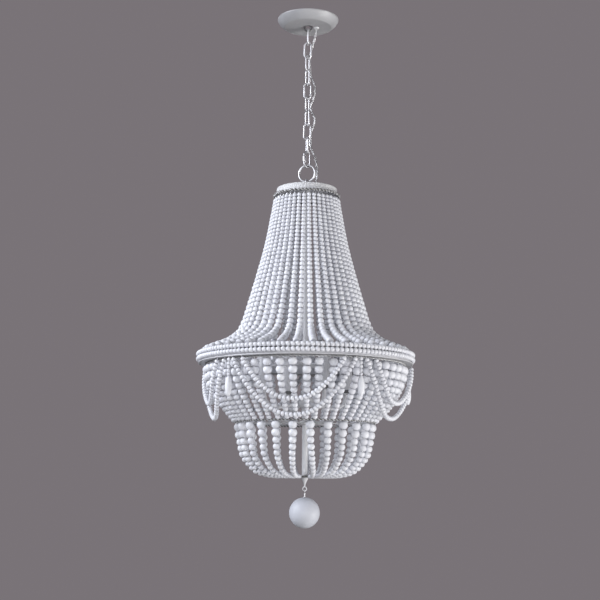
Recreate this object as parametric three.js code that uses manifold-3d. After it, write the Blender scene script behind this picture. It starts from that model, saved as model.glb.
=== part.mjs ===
// Beaded chandelier: chain, crown, flared upper tier, rim, bowl, basket, swags and finial.
// Millimetres, +Z up, the ceiling at z = 0, the front towards -Y.
import * as THREE from 'three';
import { mergeVertices } from 'three/addons/utils/BufferGeometryUtils.js';
import Module from 'manifold-3d';

const wasm = await Module();
wasm.setup();

// Fits that every piece shares
const fit = 0.3; // gap between pieces that touch
const overrun = 2; // how far a cutter passes its work
const weldGap = 0.0001; // corners closer than this are one corner
const smallSides = 12; // sides of small turned pieces
const hoopSides = 36; // sides of large hoops

// Mounting bar on the ceiling
const barLength = 96;
const barWidth = 20;
const barThickness = 2.5;
const bossRadius = 8;
const bossLength = 7;

// Canopy
const canopyRadius = 65;
const canopyFloorRadius = 49.5;
const canopyHeight = 17.5;
const canopyLip = 2;
const canopyWall = 1;
const canopyHoleRadius = 11;
const canopyCurveShares = [0.2, 0.8]; // pull of the side's curve, across and down
const canopyCurveSteps = 3;

// Loop under the mounting bar
const ceilingLoopWidth = 18;
const ceilingLoopWire = 4;
const ceilingLoopProud = 10.2; // how far it hangs below the canopy
const ceilingNeckRadius = 3.5;

// Supply cord and its grip
const cordRadius = 2.6;
const cordOffset = 17.5; // from the axis, in the canopy and in the crown cap
const cordSides = 6;
const cordSteps = 40;
const cordLineShare = 0.5; // how tight the cord's curve is
const gripWall = 1.5;
const gripFlange = 1.5;
const gripFlangeHeight = 2;
const gripNutWall = 3;
const gripNutHeight = 3;
const gripSides = 12;
const nutSides = 6;

// Chain
const linkYaws = [90, 0, 60, 120, 180, 240, 300, 0, 100]; // degrees, one for each link
const linkLength = 38;
const linkWidth = 18;
const linkWire = 3.9;
const wireSides = 6;
const bendSteps = 10; // twice an odd number, so a corner lies on top and none at the sides

// Quick link and its sleeve nut
const quickYaw = 40;
const quickLength = 38;
const quickWidth = 19;
const quickWire = 3.6;
const sleeveNutWall = 1.9;
const sleeveNutLength = 12;

// Hanging ring
const hangingYaw = -20;
const hangingDiameter = 40;
const hangingWire = 4.5;
const hangingSteps = 18; // twice an odd number, as bendSteps is

// Crown: loop, cap and hoop
const crownLoopYaw = 70;
const crownLoopWidth = 17.6;
const crownLoopWire = 4;
const crownCollarRadius = 8;
const crownCollarHeight = 4.2;
const crownScrewRadius = 4;
const crownScrewLength = 14;
const capRadius = 63.2;
const capHeight = 14.5;
const capPlate = 2.5;
const capWall = 2.5;
const capFlange = 1.2;
const capFlangeHeight = 2;
const capRound = 3;
const capSides = 32;
const crownHoopWire = 5.5;
const crownHoopDrop = 16.5; // from the top of the cap to the middle of the hoop's wire

// Rod in the middle
const rodRadius = 6;
const rodScrewDepth = 12;
const rodCordDrop = 33; // from the top of the cap to where the cord's hole meets the axis
const rodCordSlope = 45; // degrees from upright

// Upper tier
const upperHeight = 347; // from the top of the cap to the top of the rim
const upperCount = 42;
const upperFirst = 3.8; // degrees from the front
const upperTopBead = 8.6;
const upperRimBead = 14.4;
const upperTopThread = 3;
const upperHangAngle = 60; // degrees below the level, from the crown hoop's wire to the tier's ring
const threadRadius = 0.9;
const threadRing = 2.8; // width of the ring of thread that ties a tier
const strandSides = 4;
const upperRouteShares = [
  [0, 0], [0.032, 0.095], [0.125, 0.32], [0.22, 0.49], [0.375, 0.739], [0.425, 0.811],
  [0.493, 0.875], [0.608, 0.92], [0.717, 0.949], [0.852, 0.973], [1, 1],
]; // outwards and down, from the thread ring to the rim
const upperStepShares = [0.4, 0.71, 0.79, 0.88];

// Rim hoop and its two rows of beads
const rimRadius = 215;
const rimBand = 2;
const rimHeight = 23.5;
const rimFlangeWidth = 19;
const rimFlangeThickness = 2;
const rimLip = 5; // outwards, under the lower row of beads
const rimLipThickness = 1.6;
const rimSpokes = 4;
const rimSpokeWidth = 10;
const rimSpokeThickness = 2;
const rimSpokeLap = 5; // how far a spoke runs into the flange
const rimHubRadius = 11;
const rimHubHeight = 9;
const rimBead = 9.4;
const rimBeadSides = 6;

// Middle tier
const middleHeight = 119; // from the bottom of the rim to the middle hoop
const middleCount = 50;
const middleFirst = 0.2; // degrees from the front
const middleTopBead = 17;
const middleHoopBead = 9.2;
const middleTopThread = 3;
const middleSeatAngle = 50; // degrees above the level, where the strings meet the middle hoop
const middleRouteShares = [[0, 0], [0.02, 0.06], [0.12, 0.318], [0.375, 0.56], [0.69, 0.8], [1, 1]];
const middleStepShares = [0.3, 0.6, 0.8];

// Middle hoop
const middleHoopRadius = 142;
const middleHoopWire = 3.6;
const middleSpokes = 6;
const middleSpokeWire = 2.6;
const middleHoopSteps = 36;
const middleHubRadius = 12;
const middleHubHeight = 8;

// Basket
const basketHeight = 106.5; // from the middle hoop to the top of the bottom plate
const basketCount = 25;
const basketFirst = 4; // degrees from the front
const basketTopBead = 17;
const basketBottomBead = 7;
const basketTopThread = 2;
const basketHangAngle = 52; // degrees below the level, from the middle hoop's wire to the basket's ring
const basketRouteShares = [
  [0, 0], [0.027, 0.05], [0.057, 0.237], [0.085, 0.447], [0.118, 0.594], [0.158, 0.671], [0.207, 0.742],
  [0.264, 0.814], [0.322, 0.871], [0.393, 0.919], [0.481, 0.952], [0.64, 0.988], [1, 1],
]; // inwards and down, from the thread ring to the plate
const basketStepShares = [0.24, 0.34, 0.45, 0.56, 0.7];

// Bottom plate, finial and ball
const plateRadius = 26;
const plateThickness = 3;
const plateSides = 24;
const finialTopRadius = 6.8;
const finialTipRadius = 1.9;
const finialHeight = 13.6;
const finialScrewRadius = 3;
const finialNeck = 4;
const finialEyeWidth = 10;
const finialEyeWire = 2.2;
const ballLoopYaw = 90;
const ballLoopWidth = 8.4;
const ballLoopWire = 1.8;
const ballPinRadius = 1.5;
const ballPinLength = 10.2;
const ballRadius = 31;
const ballSides = 18;
const ballRings = 10;

// Lamps
const lampCount = 4;
const lampFirst = 24; // degrees from the front
const lampRadius = 92;
const lampHubRadius = 17;
const lampHubHeight = 22;
const lampHubDrop = 99.5; // from the top of the rim to the middle of the hub
const armRadius = 4;
const armRouteShares = [[0, 0], [0.33, -0.45], [0.7, -0.62], [0.93, -0.1], [1, 1]];
const armSteps = 6;
const panRise = 18; // from the middle of the hub to the underside of the pans
const panRadius = 17;
const panThickness = 2;
const sleeveRadius = 13;
const sleeveWall = 1.2;
const sleeveLength = 88;
const holderGap = 0.8;
const holderRecess = 6; // top of the lampholder below the top of its sleeve
const socketRadius = 7.5;
const socketDepth = 26;

// Swags and oval drops
const bayCount = 5;
const bayFirst = -7.2; // degrees from the front to the middle of the first bay
const swagBead = 8.8;
const swagSides = 5;
const swagHookInset = 2; // from the outside of the rim's lip
const swagClearance = 1.35; // between the swags and the strings behind them
const swagThread = 3.5;
const swagCurvePower = 2.35; // power of the swag's curve
const upperSwagHalfAngle = 27.4; // degrees from the middle of the bay to the hook
const upperSwagDrop = 82;
const upperSwagTuckShare = 0.275; // of the way in from the hooks to the middle hoop, at the lowest bead
const lowerSwagHalfAngle = 33.4;
const lowerSwagDrop = 112;
const lowerSwagTuckShare = 0.43;
const swagPoints = 12;
const swagStepShares = [0.12, 0.29, 0.5, 0.71, 0.88];
const dropInset = 1; // how much nearer to the axis than the hooks of the swags the drops hang
const dropWireRadius = 0.8;
const dropBeadRadius = 3.4;
const dropBeads = 5;
const dropBeadPitch = 7.2;
const dropThread = 2.5;
const ovalRadius = 6.8;
const ovalLength = 38.5;
const ovalShares = [[0.7, 0.14], [1, 0.38], [1, 0.62], [0.7, 0.86]];
const dropSides = 6;

// Heights that follow from the sizes above, from the ceiling down
const ceilingLoopBottom = -canopyHeight - ceilingLoopProud;
const firstLinkTop = ceilingLoopBottom + ceilingLoopWire + fit + linkWire;
const linkPitch = linkLength - 2 * linkWire - fit;
const lastLinkBottom = firstLinkTop - (linkYaws.length - 1) * linkPitch - linkLength;
const quickTop = lastLinkBottom + linkWire + fit + quickWire;
const quickBottom = quickTop - quickLength;
const hangingTop = quickBottom + quickWire + fit + hangingWire;
const hangingBottom = hangingTop - hangingDiameter;
const crownLoopTop = hangingBottom + hangingWire + fit + crownLoopWire;
const crownTop = crownLoopTop - crownLoopWidth - crownCollarHeight;
const rimTop = crownTop - upperHeight;
const rimBottom = rimTop - rimHeight;
const middleHoopLevel = rimBottom - middleHeight;
const plateTop = middleHoopLevel - basketHeight;
const plateBottom = plateTop - plateThickness;
const lampHubLevel = rimTop - lampHubDrop;
const panTop = lampHubLevel + panRise + panThickness;

// Radii that follow from the rim
const swagHookRadius = rimRadius + rimLip - swagHookInset;
const middleTopRadius = swagHookRadius - swagBead / 2 - middleTopBead / 2 - swagClearance;
const dropRadius = swagHookRadius - dropInset;

const bayPitch = 360 / bayCount;

const finishes = {
  whitePaint: new THREE.MeshStandardMaterial({ color: 0xe4e2e4, roughness: 0.45, metalness: 0 }),
  canopyPaint: new THREE.MeshStandardMaterial({ color: 0xcfcdd0, roughness: 0.4, metalness: 0 }),
  bead: new THREE.MeshStandardMaterial({ color: 0xe6e7ee, roughness: 0.5, metalness: 0 }),
  chain: new THREE.MeshStandardMaterial({ color: 0xd9d9dc, roughness: 0.25, metalness: 0.8 }),
  darkWire: new THREE.MeshStandardMaterial({ color: 0x77757a, roughness: 0.5, metalness: 0.6 }),
  steel: new THREE.MeshStandardMaterial({ color: 0xb4b4b6, roughness: 0.4, metalness: 1 }),
  cord: new THREE.MeshStandardMaterial({ color: 0xd6d6d8, roughness: 0.35, metalness: 0 }),
  holder: new THREE.MeshStandardMaterial({ color: 0x3a393a, roughness: 0.5, metalness: 0 }),
};

const radians = THREE.MathUtils.degToRad;
const chandelier = new THREE.Group();

// Point at an angle round the axis, counted from the front towards +X
function around(radius, angle, height) {
  return new THREE.Vector3(radius * Math.sin(radians(angle)), -radius * Math.cos(radians(angle)), height);
}

// One skin with shared corners, no empty faces, and its faces turned outwards
function closedSkin(geometry) {
  const bare = geometry.clone();
  bare.deleteAttribute('normal');
  bare.deleteAttribute('uv');
  const skin = mergeVertices(bare, weldGap);
  const corners = [0, 1, 2].map(() => new THREE.Vector3());
  const faces = [];
  let volume = 0;
  for (let i = 0; i < skin.index.count; i += 3) {
    const face = [0, 1, 2].map((k) => skin.index.getX(i + k));
    if (new Set(face).size === 3) {
      face.forEach((vertex, k) => corners[k].fromBufferAttribute(skin.attributes.position, vertex));
      volume += corners[0].dot(corners[1].clone().cross(corners[2]));
      faces.push(face);
    }
  }
  const turned = volume < 0 ? faces.map(([a, b, c]) => [a, c, b]) : faces;
  skin.setIndex(turned.flat());
  return skin;
}

function solidOf(geometry) {
  const skin = closedSkin(geometry);
  const vertProperties = new Float32Array(skin.attributes.position.array);
  const triVerts = new Uint32Array(skin.index.array);
  return new wasm.Manifold(new wasm.Mesh({ numProp: 3, vertProperties, triVerts }));
}

function geometryOf(solid) {
  const mesh = solid.getMesh();
  const geometry = new THREE.BufferGeometry();
  geometry.setAttribute('position', new THREE.BufferAttribute(mesh.vertProperties, 3));
  geometry.setIndex(new THREE.BufferAttribute(mesh.triVerts, 1));
  return geometry;
}

function joined(geometries) {
  return geometryOf(wasm.Manifold.union(geometries.map(solidOf)));
}

function cut(geometry, cutters) {
  return geometryOf(cutters.reduce((solid, cutter) => solid.subtract(solidOf(cutter)), solidOf(geometry)));
}

function addPiece(name, geometry, finish, parent = chandelier) {
  const skin = closedSkin(geometry);
  skin.computeVertexNormals();
  const mesh = new THREE.Mesh(skin, finish);
  mesh.name = name;
  parent.add(mesh);
  return mesh;
}

// Shape turned about the axis from [radius, height] pairs
function turned(profile, sides = smallSides) {
  const points = profile.map(([radius, height]) => new THREE.Vector2(radius, height));
  return new THREE.LatheGeometry(points, sides).rotateX(Math.PI / 2);
}

function disc(radius, top, bottom, sides = smallSides) {
  return turned([[0, bottom], [radius, bottom], [radius, top], [0, top]], sides);
}

function tube(outer, inner, top, bottom, sides = smallSides) {
  return turned([[inner, bottom], [outer, bottom], [outer, top], [inner, top], [inner, bottom]], sides);
}

// Hoop of round wire, lying flat
function hoop(radius, wireRadius, height, steps, sides) {
  return new THREE.TorusGeometry(radius, wireRadius, sides, steps).translate(0, 0, height);
}

// Link of round wire with straight sides, standing upright; a ring where length equals width
function upright(length, width, wire, top, yaw, steps = bendSteps) {
  const bend = (width - wire) / 2;
  const stretch = (length - width) / 2;
  const link = new THREE.TorusGeometry(bend, wire / 2, wireSides, steps);
  link.rotateZ(Math.PI / steps).rotateX(Math.PI / 2);
  const spots = link.attributes.position;
  for (let i = 0; i < spots.count; i += 1) {
    spots.setZ(i, spots.getZ(i) + Math.sign(spots.getZ(i)) * stretch);
  }
  return link.translate(0, 0, top - length / 2).rotateZ(radians(yaw));
}

// Round bar along a curve, with the steps and the radius there given as shares of its length
function bar(curve, steps, radiusAt, sides, sideways) {
  const positions = [];
  const faces = [];
  steps.forEach((share) => {
    const along = curve.getTangentAt(share);
    const side = sideways(curve.getPointAt(share)).projectOnPlane(along).normalize();
    const across = along.clone().cross(side);
    for (let s = 0; s < sides; s += 1) {
      const turn = (2 * Math.PI * (s + 0.5)) / sides;
      const spot = curve.getPointAt(share);
      spot.addScaledVector(side, radiusAt(share) * Math.cos(turn));
      spot.addScaledVector(across, radiusAt(share) * Math.sin(turn));
      positions.push(spot.x, spot.y, spot.z);
    }
  });
  const last = (steps.length - 1) * sides;
  for (let s = 0; s < sides; s += 1) {
    const next = (s + 1) % sides;
    for (let ring = 0; ring < last; ring += sides) {
      faces.push(ring + s, ring + next, ring + sides + next, ring + s, ring + sides + next, ring + sides + s);
    }
  }
  for (let s = 1; s < sides - 1; s += 1) {
    faces.push(0, s + 1, s, last, last + s, last + s + 1);
  }
  const geometry = new THREE.BufferGeometry();
  geometry.setAttribute('position', new THREE.Float32BufferAttribute(positions, 3));
  geometry.setIndex(faces);
  return geometry;
}

// Curve in the front plane from a start to an end, through shares of the way out and down
function frontCurve(start, end, shares) {
  const points = shares.map(([out, down]) => new THREE.Vector3(
    0,
    -THREE.MathUtils.lerp(start.radius, end.radius, out),
    THREE.MathUtils.lerp(start.height, end.height, down),
  ));
  return new THREE.CatmullRomCurve3(points, false, 'centripetal');
}

// How far the flats of a many-sided hoop lie inside its corners
function flatDepth(radius, sides) {
  return radius * (1 - Math.cos(Math.PI / sides));
}

// Place of a tier's ring of thread, inside a hoop and below its wire
function underHoop(radius, wire, sides, height, angle) {
  const reach = wire / 2 + fit + (threadRing * Math.SQRT2) / 2;
  return {
    radius: radius - flatDepth(radius, sides) - reach * Math.cos(radians(angle)),
    height: height - reach * Math.sin(radians(angle)),
  };
}

// Tier of equal bead strings, tied at the top by one ring of thread
function tier({ start, end, shares, stepShares, count, first, topBead, endBead, thread }) {
  const curve = frontCurve(start, end, shares);
  const threadShare = thread / curve.getLength();
  const steps = [0, threadShare, ...stepShares, 1];
  const beadAt = (share) => THREE.MathUtils.lerp(topBead, endBead, share) / 2;
  const radiusAt = (share) => (share === 0 ? threadRadius : beadAt(share));
  const string = bar(curve, steps, radiusAt, strandSides, () => new THREE.Vector3(1, 0, 0));
  const pitch = 360 / count;
  const ringSides = count * Math.max(1, Math.round(hoopSides / count));
  const ringRadius = start.radius / Math.cos(Math.PI / ringSides);
  const half = threadRing / 2;
  const ring = tube(ringRadius + half, ringRadius - half, half, -half, ringSides);
  ring.translate(0, 0, start.height).rotateZ(radians(first - 180 / ringSides));
  const pieces = [ring];
  for (let i = 0; i < count; i += 1) {
    pieces.push(string.clone().rotateZ(radians(first + i * pitch)));
  }
  return joined(pieces);
}

function addMountingBar() {
  const plate = new THREE.BoxGeometry(barLength, barWidth, barThickness).translate(0, 0, -barThickness / 2);
  const bossBottom = -barThickness - bossLength;
  const boss = disc(bossRadius, -barThickness / 2, bossBottom);
  const bore = disc(ceilingNeckRadius + fit, -barThickness, bossBottom - overrun);
  addPiece('mounting_bar', cut(joined([plate, boss]), [bore]), finishes.steel);
}

function addCanopy() {
  const side = new THREE.QuadraticBezierCurve(
    new THREE.Vector2(canopyRadius, -canopyLip),
    new THREE.Vector2(
      THREE.MathUtils.lerp(canopyRadius, canopyFloorRadius, canopyCurveShares[0]),
      -THREE.MathUtils.lerp(canopyLip, canopyHeight, canopyCurveShares[1]),
    ),
    new THREE.Vector2(canopyFloorRadius, -canopyHeight),
  ).getPoints(canopyCurveSteps).map((point) => [point.x, point.y]);
  const inside = side.map(([radius, height]) => [radius - canopyWall, height + canopyWall]).reverse();
  const shell = turned([
    [canopyRadius, 0], ...side, [canopyHoleRadius, -canopyHeight],
    [canopyHoleRadius, -canopyHeight + canopyWall], ...inside,
    [canopyRadius - canopyWall, 0], [canopyRadius, 0],
  ], capSides);
  const gripHole = disc(cordRadius + 2 * fit + gripWall, -canopyHeight + canopyWall + overrun,
    -canopyHeight - overrun, gripSides).translate(cordOffset, 0, 0);
  addPiece('canopy', cut(shell, [gripHole]), finishes.canopyPaint);
}

function addCordGrip() {
  const bore = cordRadius + fit;
  const body = bore + gripWall;
  const top = -canopyHeight + canopyWall + fit + gripNutHeight;
  const under = -canopyHeight - fit;
  const bottom = under - gripFlangeHeight;
  const grip = turned([
    [bore, bottom], [body + gripFlange, bottom], [body + gripFlange, under],
    [body, under], [body, top], [bore, top], [bore, bottom],
  ], gripSides).translate(cordOffset, 0, 0);
  addPiece('cord_grip', grip, finishes.cord);
  const nut = cut(
    disc(body + gripNutWall, top, top - gripNutHeight, nutSides),
    [disc(body + fit, top + overrun, top - gripNutHeight - overrun, gripSides)],
  ).translate(cordOffset, 0, 0);
  addPiece('grip_nut', nut, finishes.steel);
}

function addCeilingLoop() {
  const ringTop = ceilingLoopBottom + ceilingLoopWidth;
  const ring = upright(ceilingLoopWidth, ceilingLoopWidth, ceilingLoopWire, ringTop, 0);
  const neckBottom = ringTop - ceilingLoopWire / 2;
  const neck = disc(ceilingNeckRadius, -barThickness - fit, neckBottom);
  addPiece('ceiling_loop', joined([ring, neck]), finishes.chain);
}

// The cord leaves its grip, runs behind the chain with four bulges to the right, and goes into the rod
function addSupplyCord() {
  const route = [
    [17.5, 0, -4], [17.5, 0, -14], [17.5, 0, -24], [15.5, 3, -36], [12, 7.5, -49], [7.5, 11.5, -63],
    [5, 13, -80], [5, 13, -100], [6.5, 12.5, -118], [11, 9.5, -133], [15, 4, -146], [15.5, 2, -156],
    [14, 5, -168], [9.5, 10, -180], [7, 12, -191], [9.5, 10, -202], [14, 5.5, -212], [15.5, 3, -222],
    [13, 7.5, -233], [8.5, 11.5, -244], [6, 13, -256], [6, 13, -269], [9, 12, -282], [14, 9, -294],
    [17.5, 7, -306], [20.5, 6.5, -320], [22, 6.5, -334], [20.5, 6, -348], [18, 3, -360], [17.5, 0, -372],
    [17.4, 0, -380], [15.8, 0, -387], [12, 0, -392.4], [7.5, 0, -397], [2.5, 0, -402],
  ].map(([x, y, z]) => new THREE.Vector3(x, y, z));
  const corner = new THREE.Vector2(cordRadius, 0);
  const outline = [...Array(cordSides).keys()].map((i) => {
    const turn = (2 * Math.PI * i) / cordSides;
    return corner.clone().rotateAround(new THREE.Vector2(), turn);
  });
  const section = new THREE.Shape(outline);
  const extrudePath = new THREE.CatmullRomCurve3(route, false, 'catmullrom', cordLineShare);
  const cord = new THREE.ExtrudeGeometry(section, { steps: cordSteps, extrudePath });
  addPiece('supply_cord', cord, finishes.cord);
}

function addChain() {
  linkYaws.forEach((yaw, i) => {
    const link = upright(linkLength, linkWidth, linkWire, firstLinkTop - i * linkPitch, yaw);
    addPiece(`chain_link_${i + 1}`, link, finishes.chain);
  });
  addPiece('quick_link', upright(quickLength, quickWidth, quickWire, quickTop, quickYaw), finishes.steel);
  const middle = quickTop - quickLength / 2;
  const leg = ((quickWidth - quickWire) / 2) * Math.cos(Math.PI / bendSteps);
  const bore = quickWire / 2 + fit;
  const nut = cut(
    disc(bore + sleeveNutWall, middle + sleeveNutLength / 2, middle - sleeveNutLength / 2, nutSides),
    [disc(bore, middle + sleeveNutLength / 2 + overrun, middle - sleeveNutLength / 2 - overrun, smallSides)],
  ).translate(-leg, 0, 0).rotateZ(radians(quickYaw));
  addPiece('quick_link_nut', nut, finishes.steel);
  const ring = upright(hangingDiameter, hangingDiameter, hangingWire, hangingTop, hangingYaw, hangingSteps);
  addPiece('hanging_ring', ring, finishes.chain);
}

function addCrown() {
  const ring = upright(crownLoopWidth, crownLoopWidth, crownLoopWire, crownLoopTop, crownLoopYaw);
  const ringBottom = crownLoopTop - crownLoopWidth;
  const collar = disc(crownCollarRadius, ringBottom + crownLoopWire / 2, crownTop + fit);
  const screw = disc(crownScrewRadius, ringBottom, crownTop - crownScrewLength);
  addPiece('crown_loop', joined([ring, collar, screw]), finishes.chain);

  const bottom = crownTop - capHeight;
  const hole = crownScrewRadius + fit;
  const cap = turned([
    [hole, crownTop], [capRadius - capRound, crownTop], [capRadius, crownTop - capRound],
    [capRadius, bottom + capFlangeHeight], [capRadius + capFlange, bottom + capFlangeHeight],
    [capRadius + capFlange, bottom], [capRadius - capWall, bottom],
    [capRadius - capWall, crownTop - capPlate], [hole, crownTop - capPlate], [hole, crownTop],
  ], capSides);
  const cordHole = disc(cordRadius + 2 * fit, crownTop + overrun, crownTop - capPlate - overrun)
    .translate(cordOffset, 0, 0);
  addPiece('crown_cap', cut(cap, [cordHole]), finishes.whitePaint);

  const hoopRadius = capRadius + capFlange + fit + crownHoopWire / 2;
  const hoopLevel = crownTop - crownHoopDrop;
  const wire = hoop(hoopRadius, crownHoopWire / 2, hoopLevel, capSides, wireSides);
  addPiece('crown_hoop', wire, finishes.darkWire);
  return { hoopRadius, hoopLevel };
}

function addRod() {
  const top = crownTop - capPlate - fit;
  const bottom = plateTop + fit;
  const rod = disc(rodRadius, top, bottom);
  const upperBore = disc(crownScrewRadius + fit, top + overrun, top - rodScrewDepth);
  const lowerBore = disc(finialScrewRadius + fit, bottom + rodScrewDepth, bottom - overrun);
  const cordHole = disc(cordRadius + 2 * fit, 2 * rodRadius + overrun, 0)
    .rotateY(radians(rodCordSlope)).translate(0, 0, crownTop - rodCordDrop);
  addPiece('stem_rod', cut(rod, [upperBore, lowerBore, cordHole]), finishes.whitePaint);
}

function addUpperTier({ hoopRadius, hoopLevel }) {
  const start = underHoop(hoopRadius, crownHoopWire, capSides, hoopLevel, upperHangAngle);
  const string = {
    start,
    end: { radius: rimRadius - rimBand - flatDepth(rimRadius, hoopSides) - fit, height: rimTop + fit },
    shares: upperRouteShares,
    stepShares: upperStepShares,
    count: upperCount,
    first: upperFirst,
    topBead: upperTopBead,
    endBead: upperRimBead,
    thread: upperTopThread,
  };
  addPiece('upper_strands', tier(string), finishes.bead);
}

function addRim() {
  const inner = rimRadius - rimBand;
  const lip = rimRadius + rimLip;
  const flangeInner = rimRadius - rimFlangeWidth;
  const flangeTop = rimBottom + rimFlangeThickness;
  const band = turned([
    [rimRadius, rimTop], [rimRadius, rimBottom + rimLipThickness], [lip, rimBottom + rimLipThickness],
    [lip, rimBottom], [flangeInner, rimBottom], [flangeInner, flangeTop],
    [inner, flangeTop], [inner, rimTop], [rimRadius, rimTop],
  ], hoopSides);
  const hub = tube(rimHubRadius, rodRadius + fit, rimBottom + rimHubHeight, rimBottom);
  const spokeInner = (rodRadius + rimHubRadius) / 2;
  const spokeOuter = flangeInner + rimSpokeLap;
  const spokes = [];
  for (let i = 0; i < rimSpokes; i += 1) {
    const spoke = new THREE.BoxGeometry(rimSpokeWidth, spokeOuter - spokeInner, rimSpokeThickness);
    spoke.translate(0, -(spokeOuter + spokeInner) / 2, rimBottom + rimSpokeThickness / 2);
    spokes.push(spoke.rotateZ(radians(lampFirst + (i + 0.5) * (360 / rimSpokes))));
  }
  addPiece('rim_hoop', joined([band, hub, ...spokes]), finishes.whitePaint);

  const rowRadius = rimRadius + fit + rimBead / 2;
  const rowLevel = rimTop - rimBead / 2;
  const rowDrop = rimBead + 2 * fit;
  addPiece('rim_beads_upper', hoop(rowRadius, rimBead / 2, rowLevel, hoopSides, rimBeadSides), finishes.bead);
  addPiece('rim_beads_lower', hoop(rowRadius, rimBead / 2, rowLevel - rowDrop, hoopSides, rimBeadSides),
    finishes.bead);
}

function addMiddleTier() {
  const startHeight = rimBottom - fit - threadRing / 2;
  const slope = radians(middleSeatAngle);
  const reach = middleHoopWire / 2 + fit;
  const string = {
    start: { radius: middleTopRadius, height: startHeight },
    end: {
      radius: middleHoopRadius + reach * Math.cos(slope),
      height: middleHoopLevel + reach * Math.sin(slope),
    },
    shares: middleRouteShares,
    stepShares: middleStepShares,
    count: middleCount,
    first: middleFirst,
    topBead: middleTopBead,
    endBead: middleHoopBead,
    thread: middleTopThread,
  };
  addPiece('middle_strands', tier(string), finishes.bead);
}

function addMiddleHoop() {
  const wire = hoop(middleHoopRadius, middleHoopWire / 2, middleHoopLevel, middleHoopSteps, wireSides);
  const hubTop = middleHoopLevel + middleHubHeight / 2;
  const hub = tube(middleHubRadius, rodRadius + fit, hubTop, hubTop - middleHubHeight);
  const spokeInner = (rodRadius + middleHubRadius) / 2;
  const spokes = [];
  for (let i = 0; i < middleSpokes; i += 1) {
    const spoke = disc(middleSpokeWire / 2, middleHoopRadius, spokeInner, wireSides).rotateX(Math.PI / 2);
    spokes.push(spoke.translate(0, 0, middleHoopLevel).rotateZ(radians((i + 0.5) * (360 / middleSpokes))));
  }
  addPiece('middle_hoop', joined([wire, hub, ...spokes]), finishes.whitePaint);
}

function addBasket() {
  const string = {
    start: underHoop(middleHoopRadius, middleHoopWire, middleHoopSteps, middleHoopLevel, basketHangAngle),
    end: { radius: plateRadius + fit, height: plateTop - plateThickness / 2 },
    shares: basketRouteShares,
    stepShares: basketStepShares,
    count: basketCount,
    first: basketFirst,
    topBead: basketTopBead,
    endBead: basketBottomBead,
    thread: basketTopThread,
  };
  addPiece('basket_strands', tier(string), finishes.bead);
}

function addFinial() {
  const plateHole = finialScrewRadius + fit;
  const plate = tube(plateRadius, plateHole, plateTop, plateBottom, plateSides);
  addPiece('bottom_plate', plate, finishes.darkWire);

  const top = plateBottom - fit;
  const tip = top - finialHeight;
  const neckBottom = tip - finialNeck;
  const screwTop = plateTop + rodScrewDepth - overrun;
  const pinFoot = neckBottom - finialEyeWire / 2;
  const cone = turned([
    [0, screwTop], [finialScrewRadius, screwTop], [finialScrewRadius, top], [finialTopRadius, top],
    [finialTipRadius, tip], [ballPinRadius, tip], [ballPinRadius, pinFoot], [0, pinFoot],
  ]);
  const eye = upright(finialEyeWidth, finialEyeWidth, finialEyeWire, neckBottom, 0);
  addPiece('finial_eye', joined([cone, eye]), finishes.whitePaint);

  const loopTop = neckBottom - finialEyeWidth + finialEyeWire + fit + ballLoopWire;
  const loop = upright(ballLoopWidth, ballLoopWidth, ballLoopWire, loopTop, ballLoopYaw);
  const pinTop = loopTop - ballLoopWidth + ballLoopWire / 2;
  const pinBottom = pinTop - ballPinLength;
  const pin = disc(ballPinRadius, pinTop, pinBottom);
  const ball = new THREE.SphereGeometry(ballRadius, ballSides, ballRings).rotateX(Math.PI / 2);
  ball.translate(0, 0, pinBottom + ballPinRadius - ballRadius);
  addPiece('finial_ball', joined([loop, pin, ball]), finishes.bead);
}

function addLamps() {
  const hub = tube(lampHubRadius, rodRadius + fit, lampHubLevel + lampHubHeight / 2,
    lampHubLevel - lampHubHeight / 2);
  const armCurve = frontCurve(
    { radius: lampHubRadius - armRadius, height: lampHubLevel },
    { radius: lampRadius, height: lampHubLevel + panRise + panThickness / 2 },
    armRouteShares,
  );
  const steps = [...Array(armSteps + 1).keys()].map((i) => i / armSteps);
  const arm = bar(armCurve, steps, () => armRadius, wireSides, () => new THREE.Vector3(1, 0, 0));
  const pan = disc(panRadius, panTop, panTop - panThickness).translate(0, -lampRadius, 0);
  const pieces = [hub];
  const sleeveBottom = panTop + fit;
  const sleeveTop = sleeveBottom + sleeveLength;
  const sleeve = tube(sleeveRadius, sleeveRadius - sleeveWall, sleeveTop, sleeveBottom);
  const holderTop = sleeveTop - holderRecess;
  const holderRadius = sleeveRadius - sleeveWall - holderGap;
  const holder = turned([
    [0, sleeveBottom], [holderRadius, sleeveBottom], [holderRadius, holderTop], [socketRadius, holderTop],
    [socketRadius, holderTop - socketDepth], [0, holderTop - socketDepth],
  ]);
  for (let i = 0; i < lampCount; i += 1) {
    const angle = radians(lampFirst + i * (360 / lampCount));
    pieces.push(arm.clone().rotateZ(angle), pan.clone().rotateZ(angle));
    const place = (geometry) => geometry.clone().translate(0, -lampRadius, 0).rotateZ(angle);
    addPiece(`candle_sleeve_${i + 1}`, place(sleeve), finishes.whitePaint);
    addPiece(`lampholder_${i + 1}`, place(holder), finishes.holder);
  }
  addPiece('lamp_spider', joined(pieces), finishes.whitePaint);
}

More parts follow.
